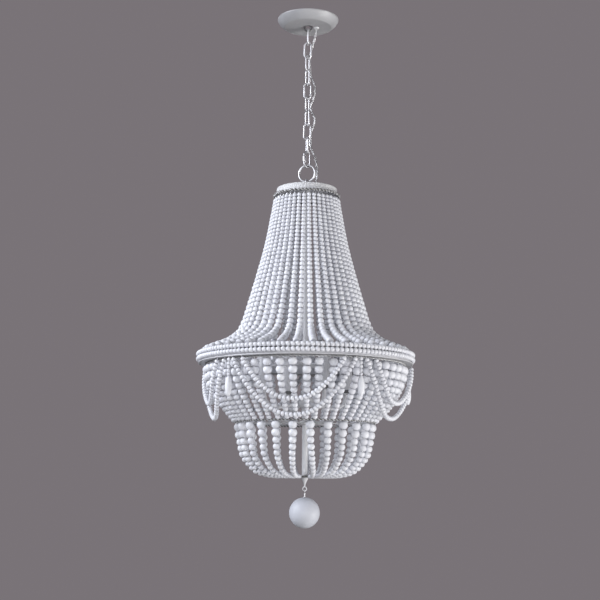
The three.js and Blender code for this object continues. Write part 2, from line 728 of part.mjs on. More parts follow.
// Swag between two hooks under the rim, drawn in towards the axis where it hangs lowest
function swag(bay, { half, drop, tuck }) {
  const hookHeight = rimBottom - fit - threadRadius;
  const points = [];
  for (let i = 0; i <= swagPoints; i += 1) {
    const share = (2 * i) / swagPoints - 1;
    const fullness = 1 - Math.abs(share) ** swagCurvePower;
    const radius = swagHookRadius - tuck * fullness * fullness;
    points.push(around(radius, bay + half * share, hookHeight - drop * fullness));
  }
  const curve = new THREE.CatmullRomCurve3(points, false, 'centripetal');
  const threadShare = swagThread / curve.getLength();
  const steps = [0, threadShare, ...swagStepShares, 1 - threadShare, 1];
  const radiusAt = (share) => (share === 0 || share === 1 ? threadRadius : swagBead / 2);
  return bar(curve, steps, radiusAt, swagSides, (point) => new THREE.Vector3(point.x, point.y, 0));
}

function ovalDrop(angle) {
  const top = rimBottom - fit;
  const profile = [[0, top], [dropWireRadius, top], [dropWireRadius, top - dropThread]];
  for (let i = 0; i < dropBeads; i += 1) {
    const beadTop = top - dropThread - i * dropBeadPitch;
    profile.push([dropBeadRadius, beadTop - dropBeadPitch / 2], [dropWireRadius, beadTop - dropBeadPitch]);
  }
  const ovalTop = top - dropThread - dropBeads * dropBeadPitch;
  ovalShares.forEach(([out, down]) => profile.push([out * ovalRadius, ovalTop - down * ovalLength]));
  profile.push([0, ovalTop - ovalLength]);
  return turned(profile, dropSides).translate(0, -dropRadius, 0).rotateZ(radians(angle));
}

function addSwagsAndDrops() {
  const wayIn = swagHookRadius - middleHoopRadius;
  const upper = { half: upperSwagHalfAngle, drop: upperSwagDrop, tuck: upperSwagTuckShare * wayIn };
  const lower = { half: lowerSwagHalfAngle, drop: lowerSwagDrop, tuck: lowerSwagTuckShare * wayIn };
  for (let i = 0; i < bayCount; i += 1) {
    const bay = bayFirst + i * bayPitch;
    addPiece(`upper_swag_${i + 1}`, swag(bay, upper), finishes.bead);
    addPiece(`lower_swag_${i + 1}`, swag(bay, lower), finishes.bead);
    addPiece(`oval_drop_${i + 1}`, ovalDrop(bay + bayPitch / 2), finishes.bead);
  }
}

addMountingBar();
addCanopy();
addCordGrip();
addCeilingLoop();
addSupplyCord();
addChain();
const crown = addCrown();
addRod();
addUpperTier(crown);
addRim();
addMiddleTier();
addMiddleHoop();
addBasket();
addLamps();
addSwagsAndDrops();
addFinial();

export default chandelier;
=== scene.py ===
import math
import random

import bmesh
import bpy
from mathutils import Matrix, Vector


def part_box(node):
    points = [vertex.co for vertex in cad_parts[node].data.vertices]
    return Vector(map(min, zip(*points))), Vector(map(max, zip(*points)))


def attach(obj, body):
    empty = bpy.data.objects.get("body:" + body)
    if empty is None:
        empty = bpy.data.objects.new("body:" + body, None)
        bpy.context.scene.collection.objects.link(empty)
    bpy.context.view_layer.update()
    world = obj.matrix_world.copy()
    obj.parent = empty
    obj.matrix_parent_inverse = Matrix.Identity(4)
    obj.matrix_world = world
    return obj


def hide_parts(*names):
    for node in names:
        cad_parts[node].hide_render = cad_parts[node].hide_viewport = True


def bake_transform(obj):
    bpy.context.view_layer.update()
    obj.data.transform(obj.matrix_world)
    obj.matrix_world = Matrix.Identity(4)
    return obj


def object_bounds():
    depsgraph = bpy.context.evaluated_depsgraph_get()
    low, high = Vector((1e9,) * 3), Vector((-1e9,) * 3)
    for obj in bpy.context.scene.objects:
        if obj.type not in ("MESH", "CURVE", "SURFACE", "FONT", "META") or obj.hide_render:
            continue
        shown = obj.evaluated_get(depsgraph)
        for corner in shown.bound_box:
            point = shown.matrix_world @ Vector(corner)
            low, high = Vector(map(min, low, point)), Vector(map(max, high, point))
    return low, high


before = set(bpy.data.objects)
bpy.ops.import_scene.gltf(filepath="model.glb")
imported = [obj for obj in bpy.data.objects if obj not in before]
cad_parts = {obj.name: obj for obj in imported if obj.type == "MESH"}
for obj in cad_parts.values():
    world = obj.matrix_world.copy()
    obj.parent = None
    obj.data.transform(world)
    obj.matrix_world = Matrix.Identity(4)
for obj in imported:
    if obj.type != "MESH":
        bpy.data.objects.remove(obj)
cadLow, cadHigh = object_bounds()
random.seed(7)
print("Frame loaded:", len(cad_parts), "nodes")

# Camera at the height of the finial, a little left of the axis, tilted up as in the photograph
cameraSet = {"place": (-0.0125, -2.536, -0.9954), "tilt": 98.7, "roll": 0.48, "lens": 74.4, "sensor": 36}
bpy.ops.object.select_all(action="DESELECT")
tilt = Matrix.Rotation(math.radians(cameraSet["tilt"]), 3, "X")
roll = Matrix.Rotation(math.radians(cameraSet["roll"]), 3, "Z")
bpy.ops.object.camera_add(location=cameraSet["place"], rotation=(tilt @ roll).to_euler())
camera = bpy.context.object
camera.data.lens = cameraSet["lens"]
camera.data.sensor_width = cameraSet["sensor"]
bpy.context.scene.camera = camera
print("Camera placed")


# Helpers for picking and shaping

def deselectAll():
    if bpy.context.mode != "OBJECT":
        bpy.ops.object.mode_set(mode="OBJECT")
    bpy.ops.object.select_all(action="DESELECT")


def takeUp(*objects):
    deselectAll()
    for obj in objects:
        obj.select_set(True)
    bpy.context.view_layer.objects.active = objects[0]


def openMesh(obj):
    takeUp(obj)
    bpy.ops.object.mode_set(mode="EDIT")
    bpy.ops.mesh.select_mode(type="VERT")
    bpy.ops.mesh.select_all(action="DESELECT")


def closeMesh():
    bpy.ops.object.mode_set(mode="OBJECT")


def pickVerts(test):
    mesh = bmesh.from_edit_mesh(bpy.context.object.data)
    for vert in mesh.verts:
        vert.select = bool(test(vert.co))
    mesh.select_flush_mode()
    bmesh.update_edit_mesh(bpy.context.object.data)


def pickFaces(test):
    mesh = bmesh.from_edit_mesh(bpy.context.object.data)
    for face in mesh.faces:
        face.select_set(bool(test(face.calc_center_median(), face.normal)))
    bmesh.update_edit_mesh(bpy.context.object.data)


# Moves the points that pass the test
def pullVerts(obj, test, move):
    openMesh(obj)
    pickVerts(test)
    bpy.ops.transform.translate(value=move)
    closeMesh()


# Merges what lies in one place in the open mesh and turns its faces outwards
def cleanMesh(merged=0.000002):
    bpy.ops.mesh.select_all(action="SELECT")
    bpy.ops.mesh.remove_doubles(threshold=merged)
    bpy.ops.mesh.normals_make_consistent(inside=False)


# Gives the newest object its name and moves its place into its mesh
def settle(name):
    obj = bpy.context.object
    obj.name = name
    obj.data.name = name
    bpy.ops.object.transform_apply(location=True, rotation=True, scale=True)
    return obj


def joinAll(name, parts):
    takeUp(*parts)
    if len(parts) > 1:
        bpy.ops.object.join()
    obj = bpy.context.object
    obj.name = name
    obj.data.name = name
    return obj


def copyTurned(obj, degrees):
    copy = obj.copy()
    copy.data = obj.data.copy()
    copy.data.transform(Matrix.Rotation(math.radians(degrees), 4, "Z"))
    bpy.context.scene.collection.objects.link(copy)
    return copy


def applyModifier(obj, kind, **settings):
    takeUp(obj)
    bpy.ops.object.modifier_add(type=kind)
    modifier = obj.modifiers[-1]
    for setting, value in settings.items():
        setattr(modifier, setting, value)
    bpy.ops.object.modifier_apply(modifier=modifier.name)


# Upright round hole through a piece
def drillHole(obj, radius, place, depth, sides=32):
    deselectAll()
    bpy.ops.mesh.primitive_cylinder_add(vertices=sides, radius=radius, depth=depth, location=place)
    drill = settle("drill")
    applyModifier(obj, "BOOLEAN", operation="DIFFERENCE", object=drill)
    bpy.data.objects.remove(drill)


# A point at this many degrees round the axis from the front
def outwards(degrees, radius=1.0, height=0.0):
    turn = math.radians(degrees)
    return Vector((radius * math.sin(turn), -radius * math.cos(turn), height))


# Lowest, highest and middle level of a CAD node
def levelsOf(node):
    low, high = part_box(node)
    return low.z, high.z, (low.z + high.z) / 2


# Chain of edges through the points, left open in edit mode
def drawPath(name, points):
    deselectAll()
    bpy.ops.mesh.primitive_plane_add(size=0.001, location=points[0])
    obj = settle(name)
    openMesh(obj)
    bpy.ops.mesh.select_all(action="SELECT")
    bpy.ops.mesh.merge(type="CENTER")
    for start, end in zip(points, points[1:]):
        bpy.ops.mesh.extrude_vertices_move(TRANSFORM_OT_translate={"value": Vector(end) - Vector(start)})
    return obj


# Profile through corners (radius, height), closed in a ring; a third number cuts a corner off by that much,
# and a third and fourth by so much before and after it
def closeProfile(*corners):
    profile = []
    for before, corner, after in zip(corners[-1:] + corners[:-1], corners, corners[1:] + corners[:1]):
        spot = Vector(corner[:2])
        cuts = corner[2:] * 2
        if cuts:
            for near, cut in zip((before, after), cuts):
                profile.append(spot + (Vector(near[:2]) - spot).normalized() * cut)
        else:
            profile.append(spot)
    return profile + profile[:1]


# Turns a profile of (radius, height) round an upright axis
def turnProfile(name, profile, steps, centre=(0.0, 0.0)):
    obj = drawPath(name, [(centre[0] + out, centre[1], up) for out, up in profile])
    bpy.ops.mesh.select_all(action="SELECT")
    bpy.ops.mesh.spin(steps=steps, angle=2 * math.pi, center=(centre[0], centre[1], 0), axis=(0, 0, 1))
    cleanMesh()
    closeMesh()
    return obj


# Ring of round wire
def bendRing(name, radius, wire, place, rotation=(0, 0, 0), steps=16, sides=6):
    deselectAll()
    bpy.ops.mesh.primitive_torus_add(
        major_segments=steps, minor_segments=sides, major_radius=radius, minor_radius=wire,
        location=place, rotation=rotation)
    return settle(name)


# Upright ring or long link of round wire, with its plane turned by yaw
def bendLink(name, length, width, wire, top, yaw, steps, sides):
    middle = top - length / 2
    upright = (math.pi / 2, 0, math.radians(yaw))
    link = bendRing(name, (width - wire) / 2, wire / 2, (0, 0, middle), upright, steps, sides)
    stretch = (length - width) / 2
    if stretch > 0:
        for side in (1, -1):
            pullVerts(link, lambda spot: side * (spot.z - middle) > 0.00001, (0, 0, side * stretch))
    return link


# Small bead of weld round one leg of a link, a little lopsided
def weldSeam(name, width, wire, level, yaw):
    leg = (width - wire) / 2
    side = Vector((math.cos(math.radians(yaw)), math.sin(math.radians(yaw)), 0))
    seam = bendRing(name, wire * 0.49, wire * 0.13, side * leg + Vector((0, 0, level)))
    pullVerts(seam, lambda spot: spot.dot(side) > leg, (0, 0, wire * 0.06))
    return seam


# Rod with a thread round it
def threadedRod(name, radius, top, bottom, thread, pitch):
    profile = [(0.0, top), (radius - thread - 0.0002, top)]
    for i in range(int((top - bottom) / pitch)):
        level = top - (i + 0.5) * pitch
        profile += [(radius, level + pitch * 0.1), (radius - thread, level - pitch * 0.4)]
    profile += [(radius - thread, bottom), (0.0, bottom)]
    return turnProfile(name, profile, 24)


# Round wire through a row of points
def drawWire(name, points, radius, roundness):
    drawPath(name, points)
    closeMesh()
    bpy.ops.object.convert(target="CURVE")
    curve = bpy.context.object.data
    curve.dimensions = "3D"
    curve.bevel_depth = radius
    curve.bevel_resolution = roundness
    curve.use_fill_caps = True
    bpy.ops.object.convert(target="MESH")
    obj = bpy.context.object
    openMesh(obj)
    cleanMesh()
    closeMesh()
    obj.name = name
    obj.data.name = name
    return obj


# One strand of a twisted pair of wires, bent into a level hoop; the other strand starts half a turn on
def windStrand(name, radius, strand, lay, level, turnOn=0, stepsPerTurn=10):
    deselectAll()
    bpy.ops.curve.primitive_bezier_circle_add(radius=radius, location=(0, 0, 0))
    track = bpy.context.object
    track.data.resolution_u = 48
    length = track.data.splines[0].calc_length()
    turns = round(length / lay)
    deselectAll()
    bpy.ops.mesh.primitive_circle_add(vertices=8, radius=strand, location=(strand, 0, 0))
    rope = settle(name)
    openMesh(rope)
    bpy.ops.mesh.select_all(action="SELECT")
    bpy.ops.transform.resize(value=(1, 1.35, 1), center_override=(strand, 0, 0))
    bpy.ops.transform.rotate(value=math.radians(turnOn), orient_axis="Z", center_override=(0, 0, 0))
    closeMesh()
    applyModifier(
        rope, "SCREW", axis="Z", angle=2 * math.pi, screw_offset=length / turns, iterations=turns,
        steps=stepsPerTurn, render_steps=stepsPerTurn)
    applyModifier(rope, "CURVE", object=track, deform_axis="POS_Z")
    openMesh(rope)
    cleanMesh(0.0002)
    bpy.ops.transform.translate(value=(0, 0, level))
    closeMesh()
    bpy.data.objects.remove(track)
    return rope


# Finer points on a smooth route that passes through the given ones
def smoothRoute(points, finer=10):
    points = [Vector(point) for point in points]
    padded = [points[0] * 2 - points[1]] + points + [points[-1] * 2 - points[-2]]
    route = [points[0]]
    for before, start, end, after in zip(padded, padded[1:], padded[2:], padded[3:]):
        back, here, on = [
            max((b - a).length, 1e-9) ** 0.5 for a, b in ((before, start), (start, end), (end, after))]
        leave = ((start - before) / back - (end - before) / (back + here) + (end - start) / here) * here
        reach = ((end - start) / here - (after - start) / (here + on) + (after - end) / on) * here
        for i in range(1, finer + 1):
            t = i / finer
            route.append(
                start * (2 * t ** 3 - 3 * t ** 2 + 1) + leave * (t ** 3 - 2 * t ** 2 + t)
                + end * (3 * t ** 2 - 2 * t ** 3) + reach * (t ** 3 - t ** 2))
    return route


def routeLength(route):
    return sum((b - a).length for a, b in zip(route, route[1:]))


# Point and direction at a distance along a route
def alongRoute(route, distance):
    for start, end in zip(route, route[1:]):
        step = (end - start).length
        if distance <= step or end is route[-1]:
            return start.lerp(end, distance / step), (end - start).normalized()
        distance -= step


# Bead width at a share of the way, from a list of (share, width)
def blendSizes(sizes, share):
    for (startAt, start), (endAt, end) in zip(sizes, sizes[1:]):
        if share <= endAt:
            return start + (end - start) * (share - startAt) / (endAt - startAt)
    return sizes[-1][1]


# Beads one after another along a route, from lead to the end less tail: place, direction, width and length
def threadBeads(route, sizes, lead, tail, flatness, gap):
    room = routeLength(route) - lead - tail
    lengths = []
    used = 0.0
    while True:
        size = blendSizes(sizes, min(1.0, used / room)) * flatness + gap
        if used + size / 2 > room:
            break
        lengths.append(size)
        used += size
    fit = room / used
    places = []
    reached = lead
    for size in lengths:
        step = size * fit
        spot, along = alongRoute(route, reached + step / 2)
        places.append((spot, along, (size - gap) / flatness, step - gap))
        reached += step
    return places


def turnPlaces(places, degrees):
    turn = Matrix.Rotation(math.radians(degrees), 3, "Z")
    return [(turn @ spot, turn @ along, width, length) for spot, along, width, length in places]


# Materials, read on the object's own coordinates

def newMaterial(name):
    material = bpy.data.materials.new(name)
    material.use_nodes = True
    tree = material.node_tree
    place = tree.nodes.new("ShaderNodeTexCoord").outputs["Object"]
    return material, tree, tree.nodes["Principled BSDF"], place


# Sets a socket to a number or a colour, or links it to another node's socket
def setInput(tree, socket, value):
    if isinstance(value, bpy.types.NodeSocket):
        tree.links.new(value, socket)
    else:
        socket.default_value = (*value, 1) if socket.type == "RGBA" else value


def addNode(tree, kind, inputs):
    node = tree.nodes.new(kind)
    for name, value in inputs.items():
        setInput(tree, node.inputs[name], value)
    return node


def addNoise(tree, place, scale, detail, roughness=0.5):
    noise = addNode(tree, "ShaderNodeTexNoise", {
        "Vector": place, "Scale": scale, "Detail": detail, "Roughness": roughness})
    return noise.outputs["Fac"]


def addAttribute(tree, name):
    attribute = tree.nodes.new("ShaderNodeAttribute")
    attribute.attribute_name = name
    return attribute.outputs["Fac"]


# Turns values from start to stop into values from low to high
def addRange(tree, source, low, high, start=0.0, stop=1.0):
    spread = addNode(tree, "ShaderNodeMapRange", {
        "Value": source, "From Min": start, "From Max": stop, "To Min": low, "To Max": high})
    return spread.outputs["Result"]


def addMix(tree, factor, first, second):
    mix = tree.nodes.new("ShaderNodeMix")
    mix.data_type = "RGBA"
    for index, value in ((0, factor), (6, first), (7, second)):
        setInput(tree, mix.inputs[index], value)
    return mix.outputs[2]


def addBump(tree, shader, height, strength, distance, under=None):
    bump = addNode(tree, "ShaderNodeBump", {"Strength": strength, "Distance": distance, "Height": height})
    if under:
        tree.links.new(under, bump.inputs["Normal"])
    tree.links.new(bump.outputs["Normal"], shader.inputs["Normal"])
    return bump.outputs["Normal"]


# Bead paint: each bead has its own tone, with worn patches, and painted shade round its holes, where the beads meet
beadLook = {
    "bright": (0.82, 0.83, 0.87), "dull": (0.70, 0.705, 0.76), "rough": (0.40, 0.58),
    "patch": (0.74, 0.74, 0.78), "patchScale": 140, "patchMost": 0.55, "patchBump": 0.35, "patchDepth": 0.0006,
    # hole is the colour of the painted shade at the bead ends
    "hole": (0.26, 0.265, 0.30), "holeShadeMost": 0.45, "holeShadeFrom": 0.3,
    "grainScale": 620, "grainBump": 0.18, "grainDepth": 0.0003,
}


def makeBeadPaint():
    look = beadLook
    material, tree, shader, place = newMaterial("beadPaint")
    tone = addMix(tree, addAttribute(tree, "tone"), look["dull"], look["bright"])
    patch = addNoise(tree, place, look["patchScale"], 3)
    grain = addNoise(tree, place, look["grainScale"], 4, 0.6)
    worn = addMix(tree, addRange(tree, patch, 0.0, look["patchMost"], 0.5, 0.75), tone, look["patch"])
    # Painted shade: the bead ends round the holes are darkened, standing in for the shade in the valleys between beads
    holeShade = addRange(tree, addAttribute(tree, "hole"), 0.0, look["holeShadeMost"], look["holeShadeFrom"], 1.0)
    setInput(tree, shader.inputs["Base Color"], addMix(tree, holeShade, worn, look["hole"]))
    setInput(tree, shader.inputs["Roughness"], addRange(tree, grain, *look["rough"], 0.3, 0.7))
    coarse = addBump(tree, shader, patch, look["patchBump"], look["patchDepth"])
    addBump(tree, shader, grain, look["grainBump"], look["grainDepth"], coarse)
    return material


# Cap paint: round pimples with painted shade in the hollows between them
capLook = {
    # hollow is the colour of the painted shade between the pimples
    "base": (0.92, 0.92, 0.93), "hollow": (0.60, 0.60, 0.62), "dots": 330, "depth": 0.0012, "strength": 0.9,
    "rough": 0.5,
}


def makeCapPaint():
    look = capLook
    material, tree, shader, place = newMaterial("pimpledPaint")
    dots = addNode(tree, "ShaderNodeTexVoronoi", {"Vector": place, "Scale": look["dots"]})
    height = addRange(tree, dots.outputs["Distance"], 1.0, 0.0, 0.1, 0.7)
    # Painted shade: the lower the surface between the pimples, the darker its colour
    setInput(tree, shader.inputs["Base Color"], addMix(tree, height, look["hollow"], look["base"]))
    setInput(tree, shader.inputs["Roughness"], look["rough"])
    addBump(tree, shader, height, look["strength"], look["depth"])
    return material


# Paints, metals and plastics: large patches fade the base colour into the shade, and a grain makes gloss and bumps
finishKinds = {
    "paint": {"patch": 1 / 8, "fade": (0.42, 0.72), "grain": (2, 0.5), "depth": 0.0003},
    "metal": {"patch": 1 / 5, "fade": (0.45, 0.72), "grain": (3, 0.6), "depth": 0.0002},
    "plastic": {"patch": 1, "fade": (0.42, 0.70), "grain": (3, 0.5), "depth": 0.0003},
}
finishLooks = {
    "whitePaint": {
        "kind": "paint", "base": (0.70, 0.70, 0.725), "shade": (0.60, 0.60, 0.63), "rough": (0.34, 0.5),
        "scale": 260, "bump": 0.10},
    # canopyShadedPaint: the white paint made darker, painted shade for the canopy up under the ceiling
    "canopyShadedPaint": {
        "kind": "paint", "base": (0.375, 0.375, 0.39), "shade": (0.325, 0.325, 0.34), "rough": (0.34, 0.46),
        "scale": 180, "bump": 0.07},
    "rodPaint": {
        "kind": "paint", "base": (0.76, 0.76, 0.78), "shade": (0.67, 0.67, 0.69), "rough": (0.26, 0.38),
        "scale": 220, "bump": 0.06},
    "ballPaint": {
        "kind": "paint", "base": (0.57, 0.585, 0.64), "shade": (0.535, 0.55, 0.605), "rough": (0.46, 0.58),
        "scale": 90, "bump": 0.05, "depth": 0.0004},
    "chainMetal": {
        "kind": "metal", "base": (0.62, 0.62, 0.64), "shade": (0.50, 0.50, 0.52), "rough": (0.34, 0.44),
        "scale": 420, "bump": 0.03, "metallic": 0.7},
    "loopMetal": {
        "kind": "metal", "base": (0.20, 0.20, 0.205), "shade": (0.12, 0.12, 0.125), "rough": (0.30, 0.42),
        "scale": 420, "bump": 0.04, "metallic": 0.9},
    "coreMetal": {
        "kind": "metal", "base": (0.78, 0.78, 0.79), "shade": (0.62, 0.62, 0.63), "rough": (0.34, 0.5),
        "scale": 900, "bump": 0.1, "metallic": 0.45},
    "darkWire": {
        "kind": "metal", "base": (0.09, 0.088, 0.085), "shade": (0.20, 0.195, 0.19), "rough": (0.32, 0.55),
        "scale": 700, "bump": 0.25, "metallic": 0.6},
    # rimShadowAndGreyWire: painted shadow for the sheet under the rim, and the colour of the grey strand of the twist
    # under the rim
    "rimShadowAndGreyWire": {
        "kind": "metal", "base": (0.46, 0.46, 0.47), "shade": (0.34, 0.34, 0.345), "rough": (0.4, 0.6),
        "scale": 300, "bump": 0.1, "metallic": 0.4},
    "paleWire": {
        "kind": "metal", "base": (0.62, 0.62, 0.63), "shade": (0.40, 0.40, 0.40), "rough": (0.3, 0.5),
        "scale": 700, "bump": 0.2, "metallic": 0.4},
    "zincSteel": {
        "kind": "metal", "base": (0.66, 0.66, 0.68), "shade": (0.48, 0.48, 0.50), "rough": (0.26, 0.44),
        "scale": 300, "bump": 0.08, "metallic": 1.0},
    "cordSheath": {
        "kind": "plastic", "base": (0.90, 0.90, 0.91), "shade": (0.78, 0.78, 0.80), "rough": (0.16, 0.26),
        "scale": 240, "bump": 0.05, "stretch": (1, 1, 0.3), "clear": 0.9},
    "gripPlastic": {
        "kind": "plastic", "base": (0.78, 0.78, 0.79), "shade": (0.66, 0.66, 0.68), "rough": (0.14, 0.24),
        "scale": 300, "bump": 0.06},
    "darkPlastic": {
        "kind": "plastic", "base": (0.12, 0.12, 0.124), "shade": (0.18, 0.178, 0.176), "rough": (0.38, 0.55),
        "scale": 380, "bump": 0.15},
}


def makeFinish(name):
    look = {**finishKinds[finishLooks[name]["kind"]], **finishLooks[name]}
    material, tree, shader, place = newMaterial(name)
    if "stretch" in look:
        place = addNode(tree, "ShaderNodeMapping", {"Vector": place, "Scale": look["stretch"]}).outputs["Vector"]
    patch = addNoise(tree, place, look["scale"] * look["patch"], 3)
    grain = addNoise(tree, place, look["scale"], *look["grain"])
    faded = addMix(tree, addRange(tree, patch, 0.0, 1.0, *look["fade"]), look["base"], look["shade"])
    setInput(tree, shader.inputs["Base Color"], faded)
    setInput(tree, shader.inputs["Roughness"], addRange(tree, grain, *look["rough"], 0.3, 0.7))
    setInput(tree, shader.inputs["Metallic"], look.get("metallic", 0.0))
    setInput(tree, shader.inputs["Transmission Weight"], look.get("clear", 0.0))
    addBump(tree, shader, grain, look["bump"], look["depth"])
    return material


finishes = {"beadPaint": makeBeadPaint(), "capPaint": makeCapPaint()}
for name in finishLooks:
    finishes[name] = makeFinish(name)
print("Materials made")


# Smooths a piece and gives it its finish
def paintPiece(obj, finish, smooth):
    takeUp(obj)
    bpy.ops.object.shade_smooth_by_angle(angle=math.radians(smooth))
    obj.data.materials.clear()
    obj.data.materials.append(finishes[finish])


# Finishes a piece and hangs it on its body in place of a CAD node
def finishPiece(obj, body, finish, node, smooth=40):
    paintPiece(obj, finish, smooth)
    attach(obj, body)
    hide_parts(node)


# One bead, modelled once: a full, slightly squared ball with a dished hole at each end
beadForm = {
    "segments": 10, "rings": 6, "dish": 0.11, "holeWidth": 0.35,
    "end": (0.4, 0.46, 1.18, 0.034),  # the ring of points between these heights, how much wider and further out
    "shoulder": (0.2, 0.3, 1.02, 0.006),
}
deselectAll()
bpy.ops.mesh.primitive_uv_sphere_add(segments=beadForm["segments"], ring_count=beadForm["rings"], radius=0.5)
beadModel = settle("beadModel")
for end in (1, -1):
    for low, high, wider, further in (beadForm["end"], beadForm["shoulder"]):
        openMesh(beadModel)
        pickVerts(lambda spot: low < end * spot.z < high)
        bpy.ops.transform.resize(value=(wider, wider, 1), center_override=(0, 0, 0))
        bpy.ops.transform.translate(value=(0, 0, end * further))
        closeMesh()
    pullVerts(beadModel, lambda spot: end * spot.z > 0.49, (0, 0, -end * beadForm["dish"]))
takeUp(beadModel)
bpy.ops.object.shade_smooth()
# Marks the points round each hole, which the bead paint darkens as painted shade
holeShadeMark = beadModel.data.attributes.new("hole", "FLOAT", "POINT")
holeShadeMark.data.foreach_set("value", [
    1.0 if vert.co.xy.length < beadForm["holeWidth"] else 0.0 for vert in beadModel.data.vertices])

beadHabit = {"tilt": 6.0, "swagTilt": 12.0, "size": 0.035, "tone": (0.2, 1.0)}  # how far single beads differ


# Copies the bead to each place, each copy with its own mesh, and joins them
def strungBeads(name, places, tilt=beadHabit["tilt"]):
    copies = []
    for spot, along, width, length in places:
        copy = beadModel.copy()
        copy.data = beadModel.data.copy()
        lean = math.radians(random.uniform(-1, 1) * tilt)
        size = 1 + random.uniform(-1, 1) * beadHabit["size"]
        turn = along.to_track_quat("Z", "Y").to_matrix().to_4x4()
        spin = Matrix.Rotation(random.uniform(0, 2 * math.pi), 4, "Z") @ Matrix.Rotation(lean, 4, "X")
        form = Matrix.Diagonal((width * size, width * size, length, 1))
        copy.data.transform(Matrix.Translation(spot) @ turn @ spin @ form)
        tone = copy.data.attributes.new("tone", "FLOAT", "FACE")
        tone.data.foreach_set("value", [random.uniform(*beadHabit["tone"])] * len(copy.data.polygons))
        bpy.context.scene.collection.objects.link(copy)
        copies.append(copy)
    return joinAll(name, copies)


# Canopy: a shallow dish with a pressed hollow round its hole, and the hole of the cord grip
canopyForm = {
    "radius": 0.065, "floor": 0.0495, "height": 0.0175, "lip": 0.002, "wall": 0.001, "pull": (0.30, 0.68),
    "hole": 0.011, "edge": 0.0003, "hollow": 0.0145, "press": 0.0007, "gripHole": 0.0047, "gripPlace": 0.0175,
    "sideSteps": 10, "turnSteps": 96,
}


def makeCanopy():
    form = canopyForm
    radius, wall, edge = form["radius"], form["wall"], form["edge"]
    hole, hollow = form["hole"], form["hollow"]
    floor = -form["height"]
    pressed = floor + form["press"]
    start = Vector((radius, -form["lip"]))
    end = Vector((form["floor"], floor))
    pull = start + (end - start) * Vector(form["pull"])
    outer = []
    for i in range(form["sideSteps"] + 1):
        t = i / form["sideSteps"]
        outer.append(start * (1 - t) ** 2 + pull * 2 * t * (1 - t) + end * t ** 2)
    inner = [spot + Vector((-wall, wall)) for spot in reversed(outer)]
    dish = turnProfile("canopyDish", closeProfile(
        (radius, 0.0), *outer,
        (hollow + 0.0012, floor), (hollow + 0.0004, floor + edge / 2), (hollow - 0.0006, pressed),
        (hole + edge, pressed), (hole, pressed + edge), (hole, pressed + wall - 0.0002),
        (hole + edge, pressed + wall), (hollow - 0.0004, pressed + wall), (hollow + 0.001, floor + wall),
        *inner, (radius - wall, -0.0002), (radius - wall + 0.0002, 0.0),
    ), form["turnSteps"])
    drillHole(dish, form["gripHole"], (form["gripPlace"], 0, floor), 0.01)
    # The canopy gets the darker paint, as painted shade
    finishPiece(dish, "canopy", "canopyShadedPaint", "canopy", smooth=18)


makeCanopy()

# Cord grip: a ribbed bush with a rounded flange
gripForm = {"bore": 0.0029, "body": 0.0044, "flange": 0.0059, "place": 0.0175, "ribs": 5, "rib": 0.0003, "gap": 0.0003}


def makeCordGrip():
    form = gripForm
    bore, body, flange, rib = form["bore"], form["body"], form["flange"], form["rib"]
    bottom, top, _ = levelsOf("cord_grip")
    floor = -canopyForm["height"]
    rise = (top - floor) / (2 * form["ribs"])
    ribs = [(body - (rib if i % 2 == 0 else 0.0), floor + rise * (i + 0.5)) for i in range(2 * form["ribs"])]
    bush = turnProfile("cordGripBush", closeProfile(
        (bore, bottom + 0.0002), (bore + 0.0004, bottom), (flange - 0.0012, bottom),
        (flange - 0.0003, bottom + 0.0005), (flange, bottom + 0.0011), (flange, floor - form["gap"] - 0.0001),
        (flange - 0.0002, floor - form["gap"]), (body, floor - form["gap"]), *ribs, (body - rib, top), (bore, top),
    ), 32, (form["place"], 0.0))
    finishPiece(bush, "canopy", "gripPlastic", "cord_grip", smooth=30)


makeCordGrip()

# Loop under the ceiling, on a threaded neck
loopForm = {"width": 0.018, "wire": 0.004, "neck": 0.0035, "thread": 0.0003, "pitch": 0.0011}


def makeCeilingLoop():
    form = loopForm
    width = form["width"]
    bottom, top, _ = levelsOf("ceiling_loop")
    ringTop = bottom + width
    ring = bendLink("ceilingRing", width, width, form["wire"], ringTop, 0, 40, 16)
    neck = threadedRod("ceilingNeck", form["neck"], top, ringTop - 0.0006, form["thread"], form["pitch"])
    shoulder = turnProfile("ceilingShoulder", [
        (0.0, ringTop + 0.0002), (0.0034, ringTop + 0.0002), (0.0042, ringTop - 0.0004), (0.0044, ringTop - 0.0012),
        (0.0036, ringTop - 0.0024), (0.0, ringTop - 0.0030),
    ], 24)
    eye = joinAll("ceilingEye", [ring, neck, shoulder])
    finishPiece(eye, "ceiling", "loopMetal", "ceiling_loop")


makeCeilingLoop()

# Chain of nine welded links
linkForm = {
    "length": 0.038, "width": 0.018, "wire": 0.0039, "yaws": [90, 0, 60, 120, 180, 240, 300, 0, 100],
    "seamDrop": 0.001,  # how far the weld is below the middle
}


def makeChain():
    form = linkForm
    width, wire = form["width"], form["wire"]
    for i, yaw in enumerate(form["yaws"], 1):
        node = f"chain_link_{i}"
        _, top, middle = levelsOf(node)
        link = bendLink(f"linkWire{i}", form["length"], width, wire, top, yaw, 36, 14)
        seam = weldSeam(f"linkSeam{i}", width, wire, middle - form["seamDrop"], yaw)
        finishPiece(joinAll(f"chainLink{i}", [link, seam]), node, "chainMetal", node, smooth=60)


makeChain()

# Quick link with its long six-sided sleeve nut
quickForm = {
    "length": 0.038, "width": 0.019, "wire": 0.0036, "yaw": 40, "threadLength": 0.0035, "pitch": 0.0009,
    "threadWire": 0.00028, "threadTilt": 6, "nutLength": 0.012, "nutWall": 0.0019, "nutPlay": 0.0003,
    "chamfer": (0.0006, 0.0004), "mouth": 0.0009, "bevel": 0.00025,
}


